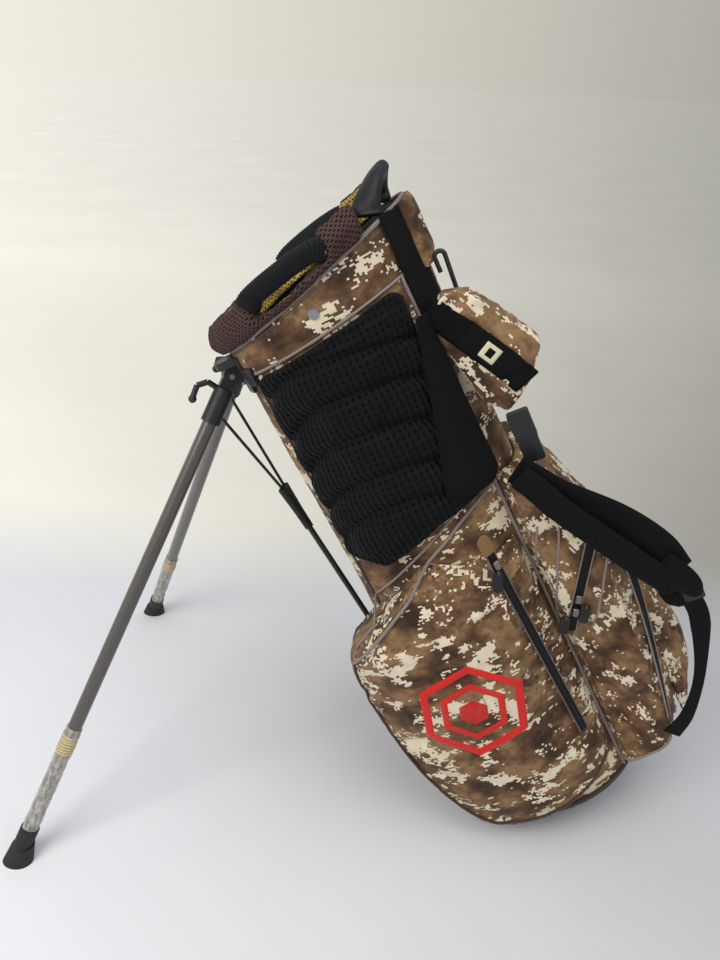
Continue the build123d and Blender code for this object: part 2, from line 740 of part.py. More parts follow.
LOOP_NEAR, LOOP_FAR = -116, -92
LOOP_TOP_EDGE = [(148, 504), (175, 474), (228, 421), (266, 368), (278, 322)]
LOOP_LOW_EDGE = [(234, 281), (204, 342), (168, 403), (149, 435), (133, 474)]
with BuildPart() as strap_loop:
    side_prism(LOOP_TOP_EDGE + LOOP_LOW_EDGE, LOOP_FAR, LOOP_NEAR, 6)
keep(strap_loop, "strap_loop")

with BuildPart() as ladder_lock:
    block(264, -104, 284, 24, 10, 22)
    fillet(ladder_lock.edges().filter_by(Axis.Y), 3)
    side_prism(LOOP_TOP_EDGE + LOOP_LOW_EDGE, LOOP_FAR + 1, LOOP_NEAR - 1, 0, Mode.SUBTRACT)
keep(ladder_lock, "ladder_lock")

with BuildPart() as strap_tail:
    with BuildSketch(side(-103)) as tail_outline:
        with BuildLine():
            Spline((270, 270), (272, 240), (262, 188), (242, 134), (214, 88), (190, 58))
            Line((190, 58), (174, 74))
            Spline((174, 74), (200, 100), (220, 140), (240, 190), (250, 240), (248, 270))
            Line((248, 270), (270, 270))
        make_face()
    extrude(amount=WEB)
keep(strap_tail, "strap_tail")

with BuildPart() as corner_buckle:
    wall(712, 734, 6, 1.6)
    sector(-152, -143.5, 700, 740)
keep(corner_buckle, "corner_buckle")
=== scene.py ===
"""Looks of a golf stand bag: printed cloth body, mesh pads, straps, pockets and folding legs."""

import math

import bmesh
import bpy
import numpy as np
from mathutils import Matrix, Vector, noise
from mathutils.bvhtree import BVHTree
from mathutils.kdtree import KDTree


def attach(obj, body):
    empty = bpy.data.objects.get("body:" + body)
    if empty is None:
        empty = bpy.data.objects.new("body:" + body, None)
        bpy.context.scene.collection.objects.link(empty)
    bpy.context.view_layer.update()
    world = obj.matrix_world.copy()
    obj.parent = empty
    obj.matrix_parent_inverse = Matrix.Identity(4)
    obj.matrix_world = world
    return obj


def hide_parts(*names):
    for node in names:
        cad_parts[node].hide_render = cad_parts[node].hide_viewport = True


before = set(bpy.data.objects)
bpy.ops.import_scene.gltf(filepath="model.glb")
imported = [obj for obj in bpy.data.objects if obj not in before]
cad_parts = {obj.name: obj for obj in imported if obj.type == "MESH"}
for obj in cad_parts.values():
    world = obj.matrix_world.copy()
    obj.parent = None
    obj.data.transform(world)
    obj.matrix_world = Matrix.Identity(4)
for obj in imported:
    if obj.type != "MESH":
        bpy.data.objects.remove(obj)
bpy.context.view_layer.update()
SCENE = bpy.context.scene
MM = 0.001

# ---- The bag's own frame: x towards the spine, y across, z along the bag, in mm ----
LEAN = math.radians(28.2)
COS, SIN = math.cos(LEAN), math.sin(LEAN)
ORIGIN = np.array([30 + 72 * COS + 9 * SIN, 0, 9 + 72 * SIN - 9 * COS])
AXES = np.array([[COS, 0, SIN], [0, 1, 0], [-SIN, 0, COS]])
TOP_Z, TOP_SHIFT = 742, -6
BAND_LOW, BAND_LOW_SLOPE = 741, 0.16
BAND_TOP, BAND_TOP_SLOPE = 790, 0.286
SEAM, FRONT = 38, 140
BODY_RADIUS, GIRTH = 118, 0.118     # a round body's radius, in mm and as metres of cloth a radian


def at(x, y, z):
    """A point of the bag's frame, in mm, as a row frame point in metres."""
    return Vector((ORIGIN + np.array([x, y, z], float) @ AXES) * MM)


def rows(points):
    """Many bag frame points at once."""
    return (ORIGIN + np.asarray(points, float) @ AXES) * MM


def local(points):
    """Row frame points in metres as bag frame points in mm."""
    return (np.asarray(points, float) / MM - ORIGIN) @ AXES.T


def way(x, y, z):
    """A direction of the bag's frame."""
    return Vector(np.array([x, y, z], float) @ AXES)


def body_sizes(z):
    """The body's oval at a height: half its depth, half its width, and its centre's x."""
    share = z / TOP_Z
    return 130 - 2 * share, 122 - 16 * share, TOP_SHIFT * share


def on_body(angle, z, grow=0.0):
    """A point of the body's oval, angle in degrees from the spine, near side negative."""
    depth, width, centre = body_sizes(z)
    a = math.radians(angle)
    return [centre + (depth + grow) * math.cos(a), (width + grow) * math.sin(a), z]


def rough(p, scale, seed=0.0):
    """Smooth noise at a bag frame point, about -1 to 1."""
    return noise.noise(Vector((p[0] / scale + seed, p[1] / scale - seed, p[2] / scale + 2 * seed)))


# ---- Node helpers for the materials ----
class Nodes:
    """Adds nodes to one node tree; its methods return sockets."""

    def __init__(self, tree):
        self.tree = tree

    def put(self, socket, value):
        """Links a socket or sets a value; a colour gets its alpha."""
        if isinstance(value, bpy.types.NodeSocket):
            self.tree.links.new(value, socket)
        elif value is not None:
            if isinstance(value, tuple) and len(socket.default_value) == 4:
                value = (*value, 1)
            socket.default_value = value

    def node(self, kind, inputs=None, output=0, **settings):
        """Adds a node, fills its inputs and gives one of its outputs."""
        made = self.tree.nodes.new(kind)
        for key, value in settings.items():
            setattr(made, key, value)
        for key, value in (inputs or {}).items():
            self.put(made.inputs[key], value)
        return made.outputs[output]

    def uv(self):
        return self.node("ShaderNodeTexCoord", output="UV")

    def object(self):
        return self.node("ShaderNodeTexCoord", output="Object")

    def scaled(self, vector, scale, turn=0.0):
        return self.node("ShaderNodeMapping", {"Vector": vector, "Scale": scale, "Rotation": (0, 0, turn)})

    def snapped(self, vector, cell):
        return self.node("ShaderNodeVectorMath", {0: vector, 1: cell}, operation="SNAP")

    def noise(self, vector, scale, detail=2.0, rough_=0.5):
        inputs = {"Vector": vector, "Scale": scale, "Detail": detail, "Roughness": rough_}
        return self.node("ShaderNodeTexNoise", inputs, "Fac")

    def math(self, operation, *values, clamp=False):
        return self.node("ShaderNodeMath", dict(enumerate(values)), operation=operation, use_clamp=clamp)

    def times(self, a, b):
        return self.math("MULTIPLY", a, b)

    def times_plus(self, a, b, c, clamp=False):
        return self.math("MULTIPLY_ADD", a, b, c, clamp=clamp)

    def plus(self, a, b):
        return self.math("ADD", a, b)

    def minus(self, a, b):
        return self.math("SUBTRACT", a, b)

    def over(self, a, b, clamp=False):
        return self.math("DIVIDE", a, b, clamp=clamp)

    def ramp(self, value, stops):
        color = self.node("ShaderNodeValToRGB", {"Fac": value}, "Color")
        elements = color.node.color_ramp.elements
        while len(elements) < len(stops):
            elements.new(0.5)
        for element, (place, shade) in zip(elements, stops):
            element.position = place
            element.color = (*shade, 1)
        return color

    def mix(self, share, a, b, kind="MIX"):
        return self.node("ShaderNodeMix", {0: share, 6: a, 7: b}, 2, data_type="RGBA", blend_type=kind)

    def parts(self, vector):
        return self.node("ShaderNodeSeparateXYZ", {0: vector}).node.outputs

    def joined(self, x, y, z=0.0):
        return self.node("ShaderNodeCombineXYZ", {0: x, 1: y, 2: z})

    def wave(self, value, period):
        """A sine of a coordinate in metres, 0 to 1."""
        return self.times_plus(self.math("SINE", self.times(value, 2 * math.pi / period)), 0.5, 0.5)

    def dimmed(self, color, amount):
        return self.node("ShaderNodeVectorMath", {0: color, "Scale": amount}, operation="SCALE")

    def leaning(self, x, y, least):
        """How far to the right a floor direction points, eased within a least distance."""
        reach = self.node("ShaderNodeVectorMath", {0: self.joined(x, y)}, "Value", operation="LENGTH")
        lean = self.over(x, self.math("MAXIMUM", reach, least))
        return self.math("MINIMUM", self.math("MAXIMUM", lean, -0.6), 0.5)


class Paint(Nodes):
    """A material under construction."""

    def __init__(self, name, roughness=0.6, metallic=0.0, specular=0.5):
        self.material = bpy.data.materials.new(name)
        self.material.use_nodes = True
        super().__init__(self.material.node_tree)
        self.bsdf = self.tree.nodes["Principled BSDF"]
        self.set("Roughness", roughness)
        self.set("Metallic", metallic)
        self.set("Specular IOR Level", specular)

    def set(self, name, value):
        self.put(self.bsdf.inputs[name], value)

    def color(self, value):
        self.set("Base Color", value)

    def bump(self, height, distance, strength=1.0, under=None):
        inputs = {"Strength": strength, "Distance": distance, "Height": height, "Normal": under}
        normal = self.node("ShaderNodeBump", inputs)
        self.set("Normal", normal)
        return normal

    def sheen(self, amount):
        self.set("Sheen Weight", amount)
        self.set("Sheen Roughness", 0.4)


def srgb(r, g, b):
    """A colour given as 0 to 255 steps, in linear light."""
    return tuple(((c / 255 + 0.055) / 1.055) ** 2.4 if c > 10 else c / 255 / 12.92 for c in (r, g, b))


def camo(name, turn=0.0, stretch=0.5):
    """Printed desert pattern: soft brown clouds under stepped cream patches, on plain weave."""
    p = Paint(name, roughness=0.62, specular=0.2)
    flat = p.scaled(p.uv(), (1, 1, 1), turn)
    cells = p.snapped(flat, (0.0027, 0.0021, 1.0))
    wide = p.scaled(cells, (stretch, 1, 1))
    clouds = p.noise(p.scaled(flat, (0.75, 1, 1)), 21, 5, 0.62)
    ground = p.ramp(clouds, [
        (0.34, srgb(50, 36, 28)), (0.44, srgb(84, 59, 41)), (0.52, srgb(116, 87, 60)),
        (0.60, srgb(150, 118, 83)), (0.70, srgb(108, 81, 57)),
    ])
    patch = p.noise(p.scaled(cells, (0.8, 1, 1)), 22, 1)
    ragged = p.noise(wide, 88, 4, 0.78)
    cream = p.plus(p.times(patch, 0.46), p.times(ragged, 0.62))
    cream = p.math("GREATER_THAN", cream, 0.586)
    dark = p.noise(wide, 34, 4, 0.75)
    dark = p.math("GREATER_THAN", dark, 0.615)
    ground = p.mix(p.times(dark, 0.45), ground, srgb(66, 49, 37))
    cream_color = p.mix(p.noise(cells, 90, 1), srgb(212, 197, 168), srgb(244, 232, 208))
    printed = p.mix(cream, ground, cream_color)
    u, v, _ = p.parts(p.uv())
    weave = p.times(p.wave(u, 0.0011), p.wave(v, 0.0011))
    printed = p.mix(0.22, printed, p.ramp(weave, [(0, (0.45, 0.42, 0.4)), (1, (1, 1, 1))]), "MULTIPLY")
    p.color(printed)
    soft = p.bump(p.noise(p.uv(), 55, 4, 0.6), 0.0022, 0.35)
    p.bump(weave, 0.0004, 0.5, soft)
    p.sheen(0.05)
    return p.material


def mesh_cloth(name, thread, hole_shade, cell, ridge=0.0, stagger=True, depth=0.0012, hole_size=0.2):
    """Open spacer mesh: staggered holes in a knit, with ribs along the bag if asked; the holes are painted in
    a dark shade.
    """
    p = Paint(name, roughness=0.78, specular=0.1)
    x, y, _ = p.parts(p.uv())
    u = p.over(x, cell[0])
    v = p.over(y, cell[1])
    if stagger:
        odd = p.math("MODULO", p.math("FLOOR", p.plus(v, 4000.0)), 2.0)
        u = p.plus(u, p.times(odd, 0.5))
    fu = p.minus(p.math("FRACT", p.plus(u, 4000.0)), 0.5)
    fv = p.minus(p.math("FRACT", p.plus(v, 4000.0)), 0.5)
    away = p.plus(p.math("ABSOLUTE", fu), p.math("ABSOLUTE", fv))
    open_ = p.ramp(away, [(hole_size, (0, 0, 0)), (hole_size + 0.12, (1, 1, 1))])
    shade = p.mix(p.noise(p.uv(), 30, 3), thread, tuple(c * 0.72 for c in thread))
    # Inside each hole the colour drops to the hole colour: painted shade in the openings.
    p.color(p.mix(open_, hole_shade, shade))
    height = open_
    if ridge:
        rib = p.wave(x, ridge)
        height = p.plus(p.times(height, 0.7), p.times(rib, 0.8))
    p.bump(height, depth, 0.9)
    p.sheen(0.02)
    return p.material


def webbing(name, color, rib=0.0019, shine=0.08):
    """Woven strap: fine ribs across, a twill along."""
    p = Paint(name, roughness=0.62, specular=0.12)
    u, v, _ = p.parts(p.uv())
    across_ = p.wave(v, rib)
    along_ = p.wave(u, rib * 0.8)
    weave = p.times(across_, p.plus(p.times(along_, 0.5), 0.5))
    worn = p.noise(p.uv(), 25, 4, 0.6)
    base = p.mix(worn, color, tuple(min(1, c * 1.45 + 0.001) for c in color))
    p.color(p.mix(weave, tuple(c * 0.45 for c in color), base))
    p.bump(weave, 0.0006, 0.7)
    p.sheen(shine)
    return p.material


def plastic(name, color, roughness=0.42, grain=260.0, metallic=0.0, wear=0.25, specular=0.5):
    """Moulded or coated surface with a fine grain and light wear."""
    p = Paint(name, roughness=roughness, metallic=metallic, specular=specular)
    spot = p.object()
    marks = p.noise(spot, 18, 5, 0.65)
    p.color(p.mix(p.times(marks, wear), color, tuple(min(1, c * 1.8 + 0.02) for c in color)))
    rough_ = p.ramp(p.noise(spot, 40, 4), [(0.3, (roughness - 0.1,) * 3), (0.7, (roughness + 0.14,) * 3)])
    p.set("Roughness", rough_)
    p.bump(p.noise(spot, grain, 3), 0.0004, 0.35)
    return p.material


def carbon(name, light, dark):
    """Fine diamond weave under a clear coat, on a tube with UVs in metres."""
    p = Paint(name, roughness=0.34, specular=0.6)
    u, v, _ = p.parts(p.uv())
    cell = 0.0030
    a = p.plus(u, v)
    b = p.minus(u, v)
    diamond = p.times(p.wave(a, cell), p.wave(b, cell))
    base = p.mix(p.noise(p.uv(), 12, 2), dark, tuple(c * 0.75 for c in dark))
    p.color(p.mix(p.ramp(diamond, [(0.25, (0, 0, 0)), (0.5, (1, 1, 1))]), base, light))
    p.set("Coat Weight", 0.5)
    p.set("Coat Roughness", 0.15)
    p.bump(diamond, 0.0002, 0.4)
    return p.material


def film(name):
    """Crinkled clear wrap, milky where it is folded on itself."""
    p = Paint(name, roughness=0.18, specular=0.7)
    crinkle = p.noise(p.scaled(p.uv(), (1.0, 0.35, 1), 0.7), 160, 5, 0.7)
    p.color(p.mix(crinkle, srgb(150, 142, 134), srgb(226, 222, 214)))
    p.set("Alpha", p.ramp(crinkle, [(0.38, (0.3,) * 3), (0.62, (0.85,) * 3)]))
    p.bump(crinkle, 0.0016, 0.9)
    return p.material


def satin(name, color):
    """Embroidery: close parallel threads."""
    p = Paint(name, roughness=0.42, specular=0.3)
    u, v, _ = p.parts(p.uv())
    thread = p.wave(p.plus(u, p.times(v, 0.35)), 0.0009)
    p.color(p.mix(thread, tuple(c * 0.62 for c in color), color))
    p.bump(p.plus(thread, p.noise(p.uv(), 300, 2)), 0.0006, 0.6)
    p.sheen(0.1)
    return p.material


def teeth(name):
    """Coated zipper: a smooth tape with a ridge of coils down its middle."""
    p = Paint(name, roughness=0.5, specular=0.22)
    u, v, _ = p.parts(p.uv())
    away = p.math("ABSOLUTE", u)
    middle = p.ramp(p.times(away, 100), [(0.16, (1, 1, 1)), (0.24, (0, 0, 0))])
    coil = p.times(p.wave(v, 0.0022), middle)
    p.color(p.mix(coil, srgb(7, 7, 8), srgb(19, 20, 22)))
    p.bump(p.plus(coil, p.times(p.noise(p.uv(), 220, 3), 0.3)), 0.0009, 0.8)
    return p.material


CAMO = camo("camo_cloth")
CAMO_BACK = camo("camo_cloth_pocket", turn=1.2, stretch=0.65)
# The hole colours below are darker copies of each thread: painted shade in the mesh's holes.
BLACK_MESH = mesh_cloth("black_spacer_mesh", srgb(19, 22, 25), srgb(3, 3, 4), (0.0060, 0.0078), ridge=0.0060,
                        stagger=False, depth=0.0020, hole_size=0.23)
BLACK_PLAIN = webbing("black_cloth", srgb(10, 11, 13), 0.0013, 0.02)
FINE_CELL = (0.0060, 0.0027)
BROWN_MESH = mesh_cloth("brown_spacer_mesh", srgb(84, 64, 60), srgb(17, 12, 12), FINE_CELL, hole_size=0.27)
YELLOW_MESH = mesh_cloth("straw_mesh", srgb(190, 162, 82), srgb(40, 34, 22), FINE_CELL, hole_size=0.25)
WEB = webbing("black_webbing", srgb(11, 13, 14), shine=0.03)
GRIP = webbing("ribbed_grip", srgb(27, 31, 34), 0.0034, 0.1)
PIPING = webbing("lilac_piping", srgb(158, 145, 139), 0.0030, 0.15)
DARK_PIPING = webbing("brown_piping", srgb(84, 68, 60), 0.0030, 0.3)
THREAD = webbing("gray_thread", srgb(120, 108, 104), 0.0024, 0.2)
LINING = webbing("dark_lining", srgb(26, 22, 20), 0.0016, 0.1)
ZIPPER = teeth("coated_zipper")
BLACK = plastic("black_plastic", srgb(19, 20, 22))
HANDLE = plastic("black_moulded_handle", srgb(17, 19, 21), 0.52, 420, specular=0.35)
RUBBER = plastic("black_rubber", srgb(17, 17, 18), 0.66, 300)
STEEL = plastic("zinc_steel", srgb(150, 150, 152), 0.3, 500, 0.9)
ZINC = plastic("gunmetal_zinc", srgb(120, 116, 112), 0.28, 500, 0.95)
COATED = plastic("coated_rod", srgb(18, 18, 20), 0.36, 300)
BRASS = plastic("aged_brass", srgb(96, 76, 48), 0.4, 400, 0.85)
FIBRE = plastic("fibre_rod", srgb(200, 194, 160), 0.45, 400)
CARBON = carbon("carbon_tube", srgb(122, 114, 108), srgb(38, 35, 34))
# The far leg's carbon is a paler copy of the same weave: painted light.
CARBON_PAINTED_LIGHTER = carbon("carbon_tube_far_painted_lighter", srgb(136, 130, 126), srgb(78, 74, 73))
FILM = film("clear_film")
TAPE = webbing("paper_tape", srgb(214, 194, 150), 0.004, 0.1)
TAN = webbing("tan_cloth", srgb(158, 122, 80), 0.0013, 0.05)
RED = satin("red_embroidery", srgb(236, 34, 22))


# ---- Mesh helpers ----
def values(items, field, size=3, kind=float):
    """One attribute of all vertices, loops or faces, a row of numbers for each."""
    got = np.zeros(len(items) * size, kind)
    items.foreach_get(field, got)
    return got.reshape(-1, size) if size > 1 else got


def linked(name, data):
    """A new object in the scene."""
    made = bpy.data.objects.new(name, data)
    SCENE.collection.objects.link(made)
    return made


def smooth(data):
    """Smooth shading on every face."""
    data.polygons.foreach_set("use_smooth", [True] * len(data.polygons))


def add_mesh(name, verts, faces, uvs, material, body="bag", stands_for=()):
    """A mesh in the row frame, with one UV in metres for each vertex, riding on a body."""
    data = bpy.data.meshes.new(name)
    data.from_pydata([tuple(v) for v in verts], [], [tuple(f) for f in faces])
    layer = data.uv_layers.new(name="UVMap")
    corner = values(data.loops, "vertex_index", 1, np.int32)
    layer.data.foreach_set("uv", np.asarray(uvs, np.float32)[corner].ravel())
    data.materials.append(material)
    smooth(data)
    made = linked(name, data)
    if body:
        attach(made, body)
    if stands_for:
        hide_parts(*stands_for)
    return made


def solid_mesh(name, lines, material, thickness, lining=None, **kind):
    """Lines of (angle, bag frame point) as a sheet with thickness, inward, and a lining if given."""
    grid = rows([[p for _, p in line] for line in lines])
    uvs = [(math.radians(angle) * GIRTH, p[2] * MM) for line in lines for angle, p in line]
    n, m = grid.shape[:2]
    index = np.arange(n * m).reshape(n, m)
    quads = np.stack([index[:-1, :-1], index[1:, :-1], index[1:, 1:], index[:-1, 1:]], -1).reshape(-1, 4)
    made = add_mesh(name, grid.reshape(-1, 3), quads, uvs, material, **kind)
    thick = made.modifiers.new("thickness", "SOLIDIFY")
    thick.thickness = thickness * MM
    thick.offset = -1
    if lining:
        made.data.materials.append(lining)
        thick.material_offset = 1
    return made


def smooth_path(points, count):
    """A Catmull-Rom line through points, resampled evenly."""
    p = np.asarray(points, float)
    p = np.vstack([2 * p[0] - p[1], p, 2 * p[-1] - p[-2]])
    fine = []
    for k in range(1, len(p) - 2):
        a, b, c, d = p[k - 1: k + 3]
        for t in np.linspace(0, 1, 24, endpoint=False):
            square, cube = 2 * a - 5 * b + 4 * c - d, 3 * b - a - 3 * c + d
            fine.append(0.5 * (2 * b + (c - a) * t + square * t ** 2 + cube * t ** 3))
    fine.append(p[-2])
    fine = np.array(fine)
    run = np.concatenate([[0], np.cumsum(np.linalg.norm(np.diff(fine, axis=0), axis=1))])
    even = np.linspace(0, run[-1], count)
    return np.stack([np.interp(even, run, fine[:, k]) for k in range(fine.shape[1])], -1)


def around(count):
    """Evenly spaced angles of a full turn."""
    return np.linspace(0, 2 * math.pi, count, endpoint=False)


def oval_section(width, thick, square_x, square_y, count):
    """An oval section, half sizes in mm; powers under 1 square its sides off."""
    def bent(value, power):
        return math.copysign(abs(value) ** power, value)
    wide, deep = width * MM, thick * MM
    return [(wide * bent(math.cos(a), square_x), deep * bent(math.sin(a), square_y)) for a in around(count)]


def tube_faces(n, m, closed=False):
    """Quads between n rings of m points, the last ring joined to the first if closed."""
    return [
        (k * m + j, k * m + (j + 1) % m, (k + 1) % n * m + (j + 1) % m, (k + 1) % n * m + j)
        for k in range(n if closed else n - 1) for j in range(m)
    ]


def sweep(name, path, section, sides, material, scale=None, closed=False, **kind):
    """Carries a closed section (metres, first axis sideways) along a path in the row frame."""
    path = np.asarray(path, float)
    n = len(path)
    tangent = np.roll(path, -1, 0) - np.roll(path, 1, 0) if closed else np.gradient(path, axis=0)
    tangent /= np.linalg.norm(tangent, axis=1)[:, None]
    sides = np.broadcast_to(np.asarray(sides, float), (n, 3))
    sides = sides - (sides * tangent).sum(1)[:, None] * tangent
    sides /= np.linalg.norm(sides, axis=1)[:, None]
    up = np.cross(tangent, sides)
    section = np.asarray(section, float)
    m = len(section)
    scale = np.ones((n, 2)) if scale is None else np.asarray(scale, float)
    step = np.linalg.norm(np.diff(path, axis=0), axis=1)
    run = np.concatenate([[0], np.cumsum(step)])
    verts = [
        path[k] + sides[k] * s[0] * scale[k, 0] + up[k] * s[1] * scale[k, 1]
        for k in range(n) for s in section
    ]
    uvs = [(s[0], run[k]) for k in range(n) for s in section]
    faces = tube_faces(n, m, closed)
    if not closed:
        faces += [tuple(reversed(range(m))), tuple(range((n - 1) * m, n * m))]
    made = add_mesh(name, verts, faces, uvs, material, **kind)
    made.data.validate()
    fix = bmesh.new()
    fix.from_mesh(made.data)
    bmesh.ops.recalc_face_normals(fix, faces=fix.faces)
    fix.to_mesh(made.data)
    fix.free()
    return made


def ring_section(radius, count=10):
    """A round section, its radius in mm."""
    return [(radius * MM * math.cos(a), radius * MM * math.sin(a)) for a in around(count)]


def strap_section(width, thick, edge=1.0, count=9):
    """A flat band's section with rounded edges, points close enough for a smooth face."""
    half, t = width / 2 * MM, thick / 2 * MM
    top = [(x, t * (1 - edge * 0.5 * (abs(x) / half) ** 6)) for x in np.linspace(-half, half, count)]
    return top + [(x, -y) for x, y in reversed(top)]


def cord_line(name, path, radius, material, closed=False, **kind):
    """A round cord or piping along points of the row frame, repeated points left out."""
    path = np.asarray(path, float)
    moved = np.linalg.norm(np.diff(path, axis=0), axis=1) > 1e-5
    path = path[np.concatenate([[True], moved])]
    any_side = np.array([0.31, 0.17, 0.93])
    return sweep(name, path, ring_section(radius, 8), any_side, material, closed=closed, **kind)


def ready(objects):
    """Evaluated triangles of several objects as one search tree."""
    deps = bpy.context.evaluated_depsgraph_get()
    verts, faces = [], []
    for o in objects:
        e = o.evaluated_get(deps)
        data = e.to_mesh()
        start = len(verts)
        verts += [e.matrix_world @ v.co for v in data.vertices]
        faces += [tuple(start + i for i in p.vertices) for p in data.polygons]
        e.to_mesh_clear()
    return BVHTree.FromPolygons(verts, faces)


def dropped(tree, spots, sign=-1, lift=0.0):
    """Bag frame (x, z) spots, dropped sideways on a tree; row frame points and normals."""
    points, normals = [], []
    for x, z in spots:
        aim = way(0, -sign, 0)
        hit, normal, _, _ = tree.ray_cast(at(x, sign * 400, z), aim)
        if hit is None:
            hit, normal, _, _ = tree.find_nearest(at(x, sign * 130, z))
        if normal.dot(aim) > 0:
            normal = -normal
        points.append(hit + normal * lift * MM)
        normals.append(normal)
    return np.array(points), np.array(normals)


def eased(points, rounds=3):
    """A little smoothing of a line, its ends kept."""
    p = np.asarray(points, float).copy()
    for _ in range(rounds):
        p[1:-1] = (p[:-2] + 2 * p[1:-1] + p[2:]) / 4
    return p


def point_tree(spots):
    """Points as a search tree."""
    tree = KDTree(max(1, len(spots)))
    for k, spot in enumerate(spots):
        tree.insert(spot, k)
    tree.balance()
    return tree


# ---- Soft pieces ----
def seams_of(source, angle=0.6):
    """Points along the sharp edges of a CAD node, where its fabric is sewn."""
    work = bmesh.new()
    work.from_mesh(source.data)
    bmesh.ops.remove_doubles(work, verts=work.verts, dist=1e-5)
    spots = []
    for edge in work.edges:
        if len(edge.link_faces) == 2 and edge.calc_face_angle(0) > angle:
            a, b = (v.co.copy() for v in edge.verts)
            count = max(1, int((b - a).length / 0.004))
            spots += [a.lerp(b, k / count) for k in range(count + 1)]
    work.free()
    return spots


def box_uv(data):
    """Box-projected UVs in metres, in the bag's own frame."""
    normals = values(data.polygons, "normal") @ AXES.T
    spots = local(values(data.vertices, "co")) * MM
    layer = data.uv_layers.active or data.uv_layers.new(name="UVMap")
    uv = np.zeros((len(data.loops), 2))
    for face, n in zip(data.polygons, normals):
        axis = int(np.argmax(np.abs(n) * (1.0, 1.0, 0.8)))
        pair = ((1, 2), (0, 2), (0, 1))[axis]
        for loop in face.loop_indices:
            p = spots[data.loops[loop].vertex_index]
            uv[loop] = (p[pair[0]] + 0.31 * axis, p[pair[1]])
    layer.data.foreach_set("uv", uv.ravel())


WRAP, ROLL = 0.117, 0.0175      # the body's and the cuff roll's radius, in metres


def round_uv(data, kind):
    """UVs in metres wrapped round the bag; a cuff's second coordinate goes round its roll."""
    layer = data.uv_layers.active or data.uv_layers.new(name="UVMap")
    p = local(values(data.vertices, "co"))
    depth, width, centre = body_sizes(780)
    turn = np.arctan2(p[:, 1] / width, (p[:, 0] - centre) / depth)
    u = turn * WRAP
    v = p[:, 2] * MM
    if kind == "cuff":
        radial = np.hypot((p[:, 0] - centre) / depth, p[:, 1] / width) * 117 - 117
        up = p[:, 2] - (BAND_TOP + BAND_TOP_SLOPE * p[:, 0]) - 18
        v = np.arctan2(up, radial + 2.5) * ROLL
    uv = np.stack([u, v], -1)[values(data.loops, "vertex_index", 1, np.int32)]
    for face in data.polygons:
        loops = slice(face.loop_start, face.loop_start + face.loop_total)
        for k, full in ((0, 2 * math.pi * WRAP), (1, 2 * math.pi * ROLL)):
            part = uv[loops, k]
            if part.max() - part.min() > full / 2:
                uv[loops, k] = np.where(part < 0, part + full, part)
    layer.data.foreach_set("uv", uv.ravel())


def stuffed(name, node, material, voxel=5.0, pressure=4.0, cap=8.0, hold=6.0, uv="box",
            creases=1.0, presses=()):
    """A CAD node's solid as sewn fabric: remeshed, inflated between its seams and creased."""
    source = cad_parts[node]
    data = source.data.copy()
    data.materials.clear()
    made = linked(name, data)
    bpy.context.view_layer.objects.active = made
    remesh = made.modifiers.new("remesh", "REMESH")
    remesh.mode = "VOXEL"
    remesh.voxel_size = voxel * MM
    deps = bpy.context.evaluated_depsgraph_get()
    fresh = bpy.data.meshes.new_from_object(made.evaluated_get(deps))
    made.modifiers.clear()
    made.data = fresh
    rest = values(fresh.vertices, "co")
    spots = seams_of(source)
    tree = point_tree(spots)
    away = np.array([tree.find(Vector(v))[2] for v in rest]) if spots else np.full(len(rest), 1.0)
    inside = local(rest)
    depth, width, shift = body_sizes(inside[:, 2])
    share = np.hypot((inside[:, 0] - shift) / depth, inside[:, 1] / width)
    backed = (share - 1) * BODY_RADIUS < 4.5
    held = np.clip(1 - away / (hold * MM), 0, 1)
    if node != "cuff_pad":
        held = np.maximum(held, backed * 1.0)
    moved = rest.copy()
    if pressure:
        group = made.vertex_groups.new(name="held")
        for k, w in enumerate(held):
            if w > 0.01:
                group.add([k], float(min(1, w * 1.6)), "REPLACE")
        cloth = made.modifiers.new("cloth", "CLOTH")
        for key, value in dict(
            quality=5, mass=0.3, tension_stiffness=12, compression_stiffness=12, shear_stiffness=5,
            bending_stiffness=0.6, shrink_min=-0.04, use_pressure=True, uniform_pressure_force=pressure,
            vertex_group_mass="held", pin_stiffness=4,
        ).items():
            setattr(cloth.settings, key, value)
        cloth.settings.effector_weights.gravity = 0
        cloth.collision_settings.use_collision = False
        cloth.collision_settings.use_self_collision = False
        cloth.point_cache.frame_start = 1
        cloth.point_cache.frame_end = 20
        for f in range(1, 21):
            SCENE.frame_set(f)
        deps = bpy.context.evaluated_depsgraph_get()
        moved = values(made.evaluated_get(deps).to_mesh().vertices, "co")
        made.evaluated_get(deps).to_mesh_clear()
        made.modifiers.clear()
        SCENE.frame_set(1)
    swell = moved - rest
    limit = np.minimum(1, cap * MM / np.maximum(np.linalg.norm(swell, axis=1), 1e-9))
    moved = rest + swell * limit[:, None]
    fresh.vertices.foreach_set("co", moved.ravel())
    fresh.update()
    normals = values(fresh.vertices, "normal")
    p = local(moved)
    free = np.clip(away / 0.02, 0.25, 1) * creases
    wave = np.array([
        1.5 * rough(q, 62, 1) + 0.9 * rough(q * (1, 1, 0.7), 24, 4) + 0.35 * rough(q, 11, 8) for q in p
    ])
    moved = moved + normals * (wave * free * MM)[:, None]
    for press in presses:
        moved = press(moved)
    fresh.vertices.foreach_set("co", moved.ravel())
    fresh.update()
    if uv == "box":
        box_uv(fresh)
    else:
        round_uv(fresh, uv)
    fresh.materials.append(material)
    smooth(fresh)
    soft = made.modifiers.new("smooth", "SUBSURF")
    soft.levels = soft.render_levels = 1
    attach(made, "bag")
    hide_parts(node)
    return made


